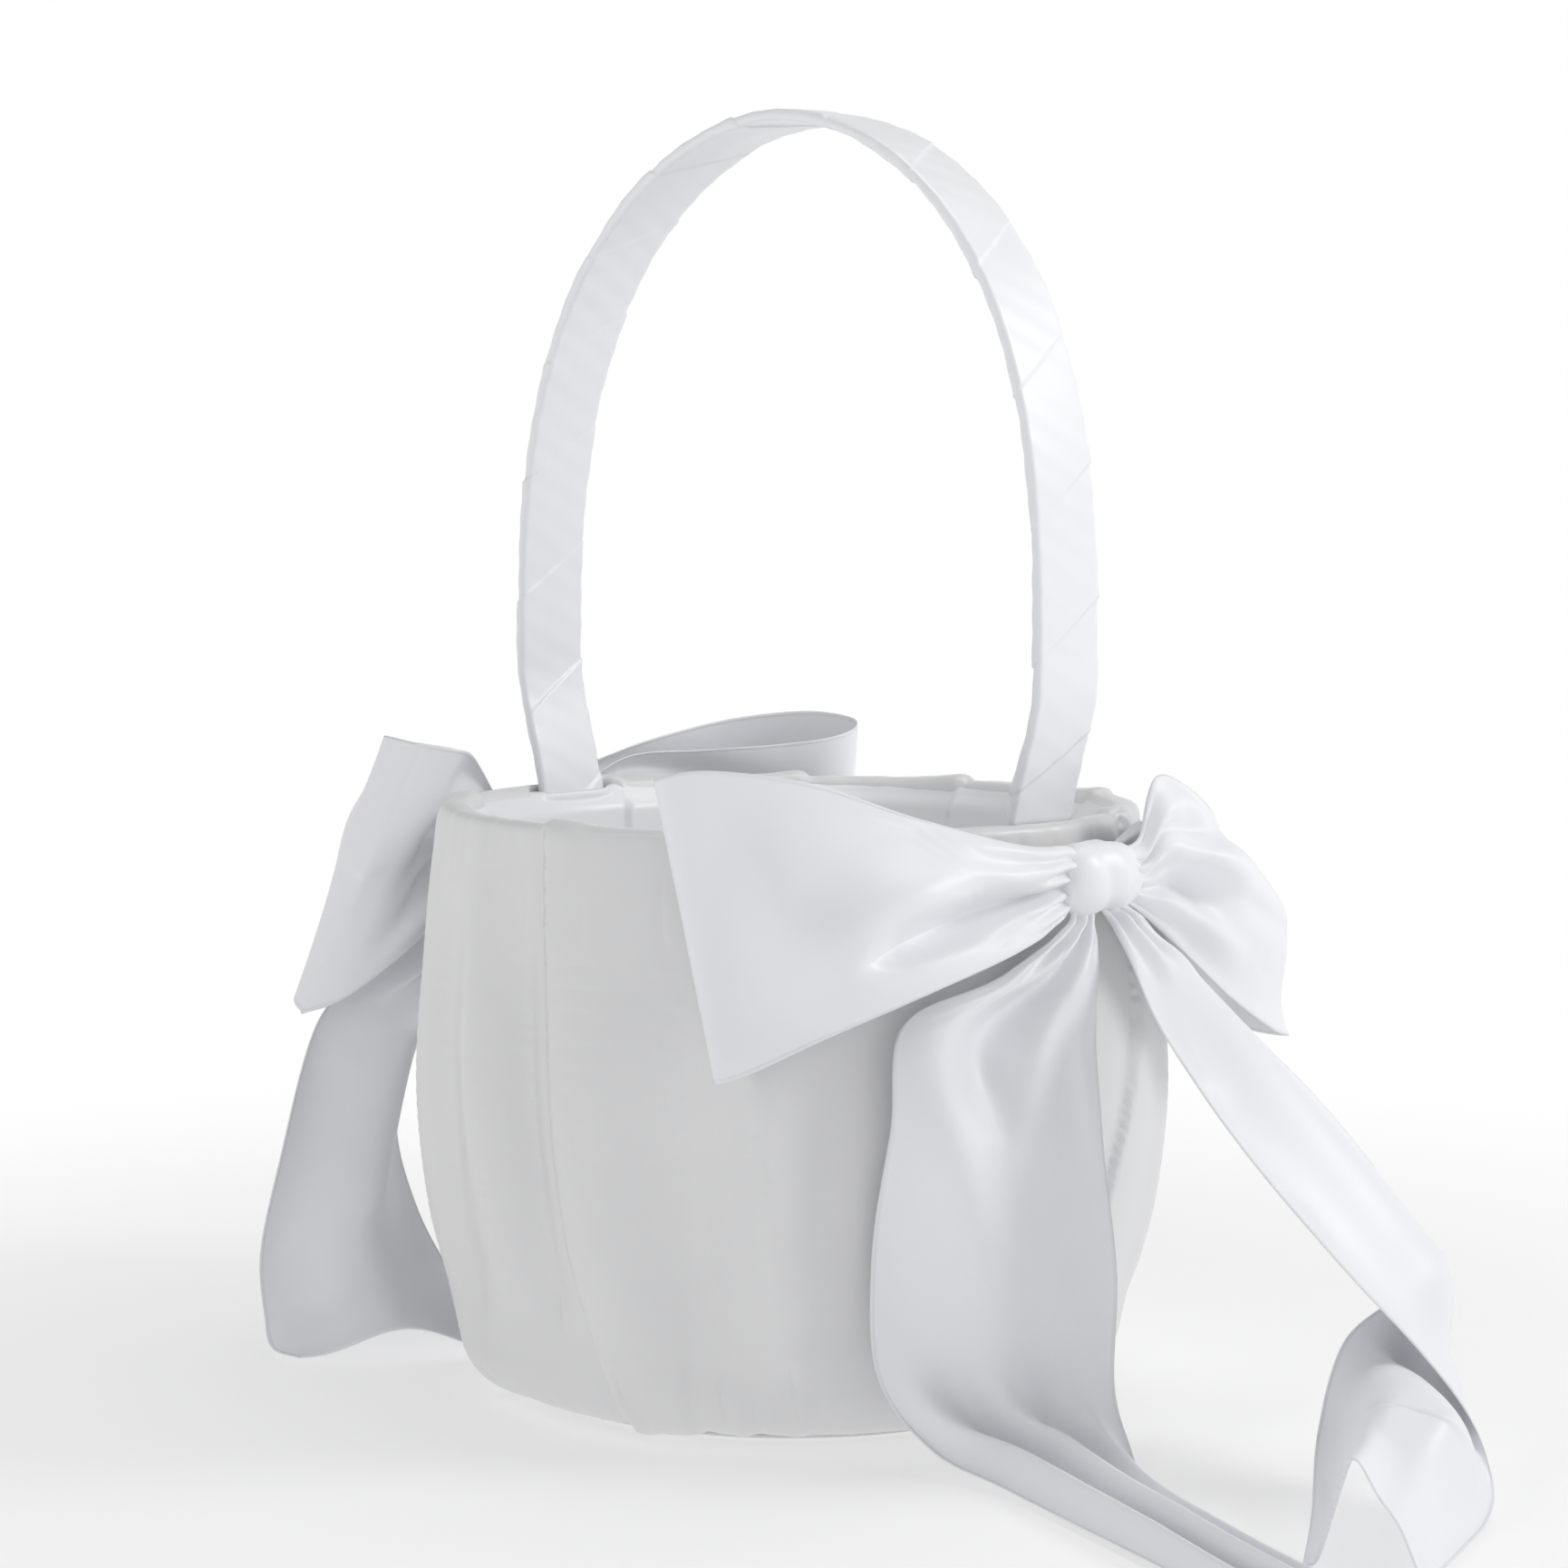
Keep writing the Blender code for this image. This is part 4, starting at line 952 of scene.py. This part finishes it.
LEG_FOOT = wrap_low.z / MM
CROWN = wrap_high.z / MM
WRAP_WIDTH = (wrap_high.y - wrap_low.y) / MM
WRAP_THICK = 2.5
ARCH_WIDEST = 150.0
ARCH_REACH = 75.6
LEG_RIM_REACH = 68.8
ARCH_LEAN = 2.0
RIBBON_PITCH = 26.5
SEAM_START = 18.6
OVERLAP_STEP = 0.34
STEP_SHARE = 0.012
ROWS_PER_TURN = 40
WRAP_CORNER = 0.85
FLAT_STEPS, CORNER_STEPS = 22, 8


def leg_reach(height):
    """Distance of a leg's outer face from the middle at a height, both in millimetres."""
    rim = wall_high.z / MM
    slope = (WALL_TOP_R - WALL_FOOT_R) * MM / (wall_high.z - wall_low.z)
    if height <= rim:
        return LEG_RIM_REACH - (rim - height) * slope
    span = ARCH_WIDEST - rim
    t = (height - rim) / span
    return (LEG_RIM_REACH * (2 * t**3 - 3 * t**2 + 1) + slope * span * (t**3 - 2 * t**2 + t)
            + ARCH_REACH * (3 * t**2 - 2 * t**3))


def handle_middle():
    """The arch's middle line in X and Z, its inward normals, and the distance along it."""
    rim = wall_high.z / MM
    right = [(leg_reach(h), h) for h in np.linspace(LEG_FOOT, rim, 30)[:-1]]
    right += [(leg_reach(h), h) for h in np.linspace(rim, ARCH_WIDEST, 40)[:-1]]
    rise = CROWN - ARCH_WIDEST
    for angle in np.linspace(0, math.pi / 2, 200):
        across = ARCH_REACH * max(0.0, math.cos(angle)) ** (2 / 1.88)
        right.append((across, ARCH_WIDEST + rise * math.sin(angle) ** (2 / 2.75)))
    right = np.array(right)
    outer = np.vstack([right, (right * np.array([-1, 1]))[::-1][1:]])
    share = np.clip((outer[:, 1] - rim) / (CROWN - rim), 0, 1)
    outer[:, 0] += ARCH_LEAN * share**2
    rows, where = even_rows(outer, 900)
    soften(rows, 8)
    along = np.gradient(rows, axis=0)
    along /= np.linalg.norm(along, axis=1)[:, None]
    inward = np.stack([-along[:, 1], along[:, 0]], axis=1)
    return rows + inward * WRAP_THICK / 2, inward, where


def handle_wrap():
    """Ribbon wound in a spiral. Grid lines run along the spiral, so each overlap is a clean step."""
    middle, inward, where = handle_middle()
    length = where[-1]
    half_width, half_thick = WRAP_WIDTH / 2 - 0.30, WRAP_THICK / 2 - 0.22
    flat_end = half_width - WRAP_CORNER
    outline = []
    for face in (1.0, -1.0):
        for step in range(FLAT_STEPS + 1):
            outline.append((face * (2 * flat_end * step / FLAT_STEPS - flat_end), face))
        for step in range(1, CORNER_STEPS):
            angle = math.pi * step / CORNER_STEPS
            outline.append((face * (flat_end + WRAP_CORNER * math.sin(angle)), face * math.cos(angle)))
    outline = np.array(outline)
    sides = len(outline)
    ring = outline * np.array([1.0, half_thick])
    gaps = np.linalg.norm(np.diff(np.vstack([ring, ring[:1]]), axis=0), axis=1)
    around = np.concatenate([[0], np.cumsum(gaps)[:-1]]) / gaps.sum()
    offsets = [0.0, STEP_SHARE]
    offsets += [STEP_SHARE + (1 - STEP_SHARE) * k / (ROWS_PER_TURN - 2) for k in range(1, ROWS_PER_TURN - 2)]
    rows, lift, start = [], [], []
    for number in range(-2, int(length / RIBBON_PITCH) + 2):
        for index, offset in enumerate(offsets):
            rows.append(SEAM_START + (number + offset) * RIBBON_PITCH)
            lift.append(0.0 if index == 0 else OVERLAP_STEP * (1 - offset) ** 0.8)
            start.append((number + offset) * RIBBON_PITCH)
    rows = np.array(rows)
    lift = np.array(lift)
    place = rows[:, None] + RIBBON_PITCH * around[None]
    inside = np.clip(place, 0, length)
    spot = np.stack([np.interp(inside, where, middle[:, axis]) for axis in (0, 1)], axis=2)
    turn_in = np.stack([np.interp(inside, where, inward[:, axis]) for axis in (0, 1)], axis=2)
    wobble = 0.05 * np.sin(place * 0.9 + 3 * around[None] * 2 * math.pi) + 0.04 * np.sin(place * 0.31)
    puff = lift[:, None] * (0.75 + 0.25 * np.sin(place * 0.17 + 1)) + wobble
    crown = 0.22 * (1 - (outline[:, 0] / half_width) ** 2)
    depth = outline[:, 1][None] * (half_thick + crown[None] + puff)
    wide = ring[:, 0][None] * (1 + puff / half_width)
    x = spot[..., 0] - turn_in[..., 0] * depth
    z = spot[..., 1] - turn_in[..., 1] * depth
    points = np.stack([x, wide + 0 * x, z], axis=2) * MM
    count = len(offsets)
    reaches = inside.ravel()
    faces, uvs = [], []
    perimeter = gaps.sum()
    for row in range(len(rows) - count - 1):
        for column in range(sides):
            a, d = row * sides + column, (row + 1) * sides + column
            b, c = (a + 1, d + 1) if column < sides - 1 else ((row + count) * sides, (row + 1 + count) * sides)
            reach = reaches[[a, b, c, d]]
            if reach.max() - reach.min() < 1e-6:
                continue
            faces.append((a, b, c, d))
            low, high = start[row] * MM, start[row + 1] * MM
            left = around[column] * perimeter * MM
            right = (around[column + 1] if column < sides - 1 else 1.0) * perimeter * MM
            uvs += [(left, low), (right, low), (right, high), (left, high)]
    mesh = bpy.data.meshes.new("handle_wrap_ribbon")
    mesh.from_pydata(points.reshape(-1, 3).tolist(), [], faces)
    layer = mesh.uv_layers.new(name="cloth")
    layer.data.foreach_set("uv", np.array(uvs, dtype=np.float32).ravel())
    obj = add_object("handle_wrap_ribbon", mesh)
    mend(obj)
    mesh.shade_smooth()
    mesh.set_sharp_from_angle(angle=math.radians(70))
    thicken(obj, RIBBON_THICKNESS)
    settle(obj, WRAP_SATIN, "handle_wrap")


handle_wrap()

for node, material in (("bucket_wall", BOARD), ("base_board", BOARD), ("floor_card", BOARD), ("handle_core", BAND)):
    dress(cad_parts[node], material)
for node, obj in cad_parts.items():
    if node.startswith("handle_rivet"):
        dress(obj, STEEL)


# ---------------- floor, light and camera


FLOOR_REACH = 30.0
FLOOR_DROP = 0.4 * MM
CAMERA_AZIMUTH = math.radians(44)
CAMERA_TILT = math.radians(4.52)
CAMERA_DISTANCE = 0.7925
CAMERA_HEIGHT = 0.1883


def soft_light(name, place, target, size, power):
    """A round white lamp aimed at the target."""
    data = bpy.data.lights.new(name, "AREA")
    data.shape = "DISK"
    data.size = size
    data.energy = power
    light = add_object(name, data)
    light.location = place
    light.rotation_euler = (Vector(target) - Vector(place)).to_track_quat("-Z", "Y").to_euler()


def studio():
    """White floor that fades into a white surround, three soft lamps, and the camera."""
    mesh = bpy.data.meshes.new("studio_floor")
    corners = [(x * FLOOR_REACH, y * FLOOR_REACH, 0) for x, y in ((-1, -1), (1, -1), (1, 1), (-1, 1))]
    mesh.from_pydata(corners, [], [(0, 1, 2, 3)])
    floor = add_object("studio_floor", mesh)
    floor.location.z = -FLOOR_DROP
    n = Nodes(bpy.data.materials.new("floor_white"))
    place = n.add("ShaderNodeTexCoord").outputs["Object"]
    far = n.add("ShaderNodeVectorMath", operation="LENGTH")
    n.link(place, far.inputs[0])
    n.shader.inputs["Base Color"].default_value = (0.93, 0.93, 0.935, 1.0)
    n.shader.inputs["Roughness"].default_value = 0.9
    n.shader.inputs["Specular IOR Level"].default_value = 0.1
    glow = n.add("ShaderNodeEmission")
    glow.inputs["Color"].default_value = (1, 1, 1, 1)
    blend = n.add("ShaderNodeMixShader")
    n.link(n.spread(far.outputs["Value"], 0.10, 0.45, 0.5, 1.0), blend.inputs[0])
    n.link(n.shader.outputs[0], blend.inputs[1])
    n.link(glow.outputs[0], blend.inputs[2])
    n.link(blend.outputs[0], n.tree.nodes["Material Output"].inputs["Surface"])
    dress(floor, n.owner)

    w = Nodes(bpy.data.worlds.new("studio"))
    bpy.context.scene.world = w.owner
    split = w.add("ShaderNodeSeparateXYZ")
    w.link(w.add("ShaderNodeTexCoord").outputs["Generated"], split.inputs[0])
    background = w.tree.nodes["Background"]
    background.inputs["Color"].default_value = (1, 1, 1, 1)
    w.link(w.spread(split.outputs["Z"], 0.24, 0.55, 1.0, 0.22), background.inputs["Strength"])

    soft_light("key", (0.95, 0.65, 0.85), (0.03, 0, 0.09), 0.45, 6.2)
    soft_light("side", (-0.10, -0.85, 0.85), (0, 0, 0.08), 0.35, 1.0)
    soft_light("overhead", (0.1, 0.25, 1.3), (0, 0, 0), 0.8, 4.4)

    camera = add_object("camera", bpy.data.cameras.new("camera"))
    camera.location = (CAMERA_DISTANCE * math.sin(CAMERA_AZIMUTH), -CAMERA_DISTANCE * math.cos(CAMERA_AZIMUTH),
                       CAMERA_HEIGHT)
    camera.rotation_euler = (math.pi / 2 - CAMERA_TILT, 0, CAMERA_AZIMUTH)
    camera.data.sensor_width = 36
    camera.data.lens = 87.4
    camera.data.shift_x = -0.004
    camera.data.clip_start = 0.01
    bpy.context.scene.camera = camera
    bpy.context.scene.view_settings.view_transform = "Standard"


studio()
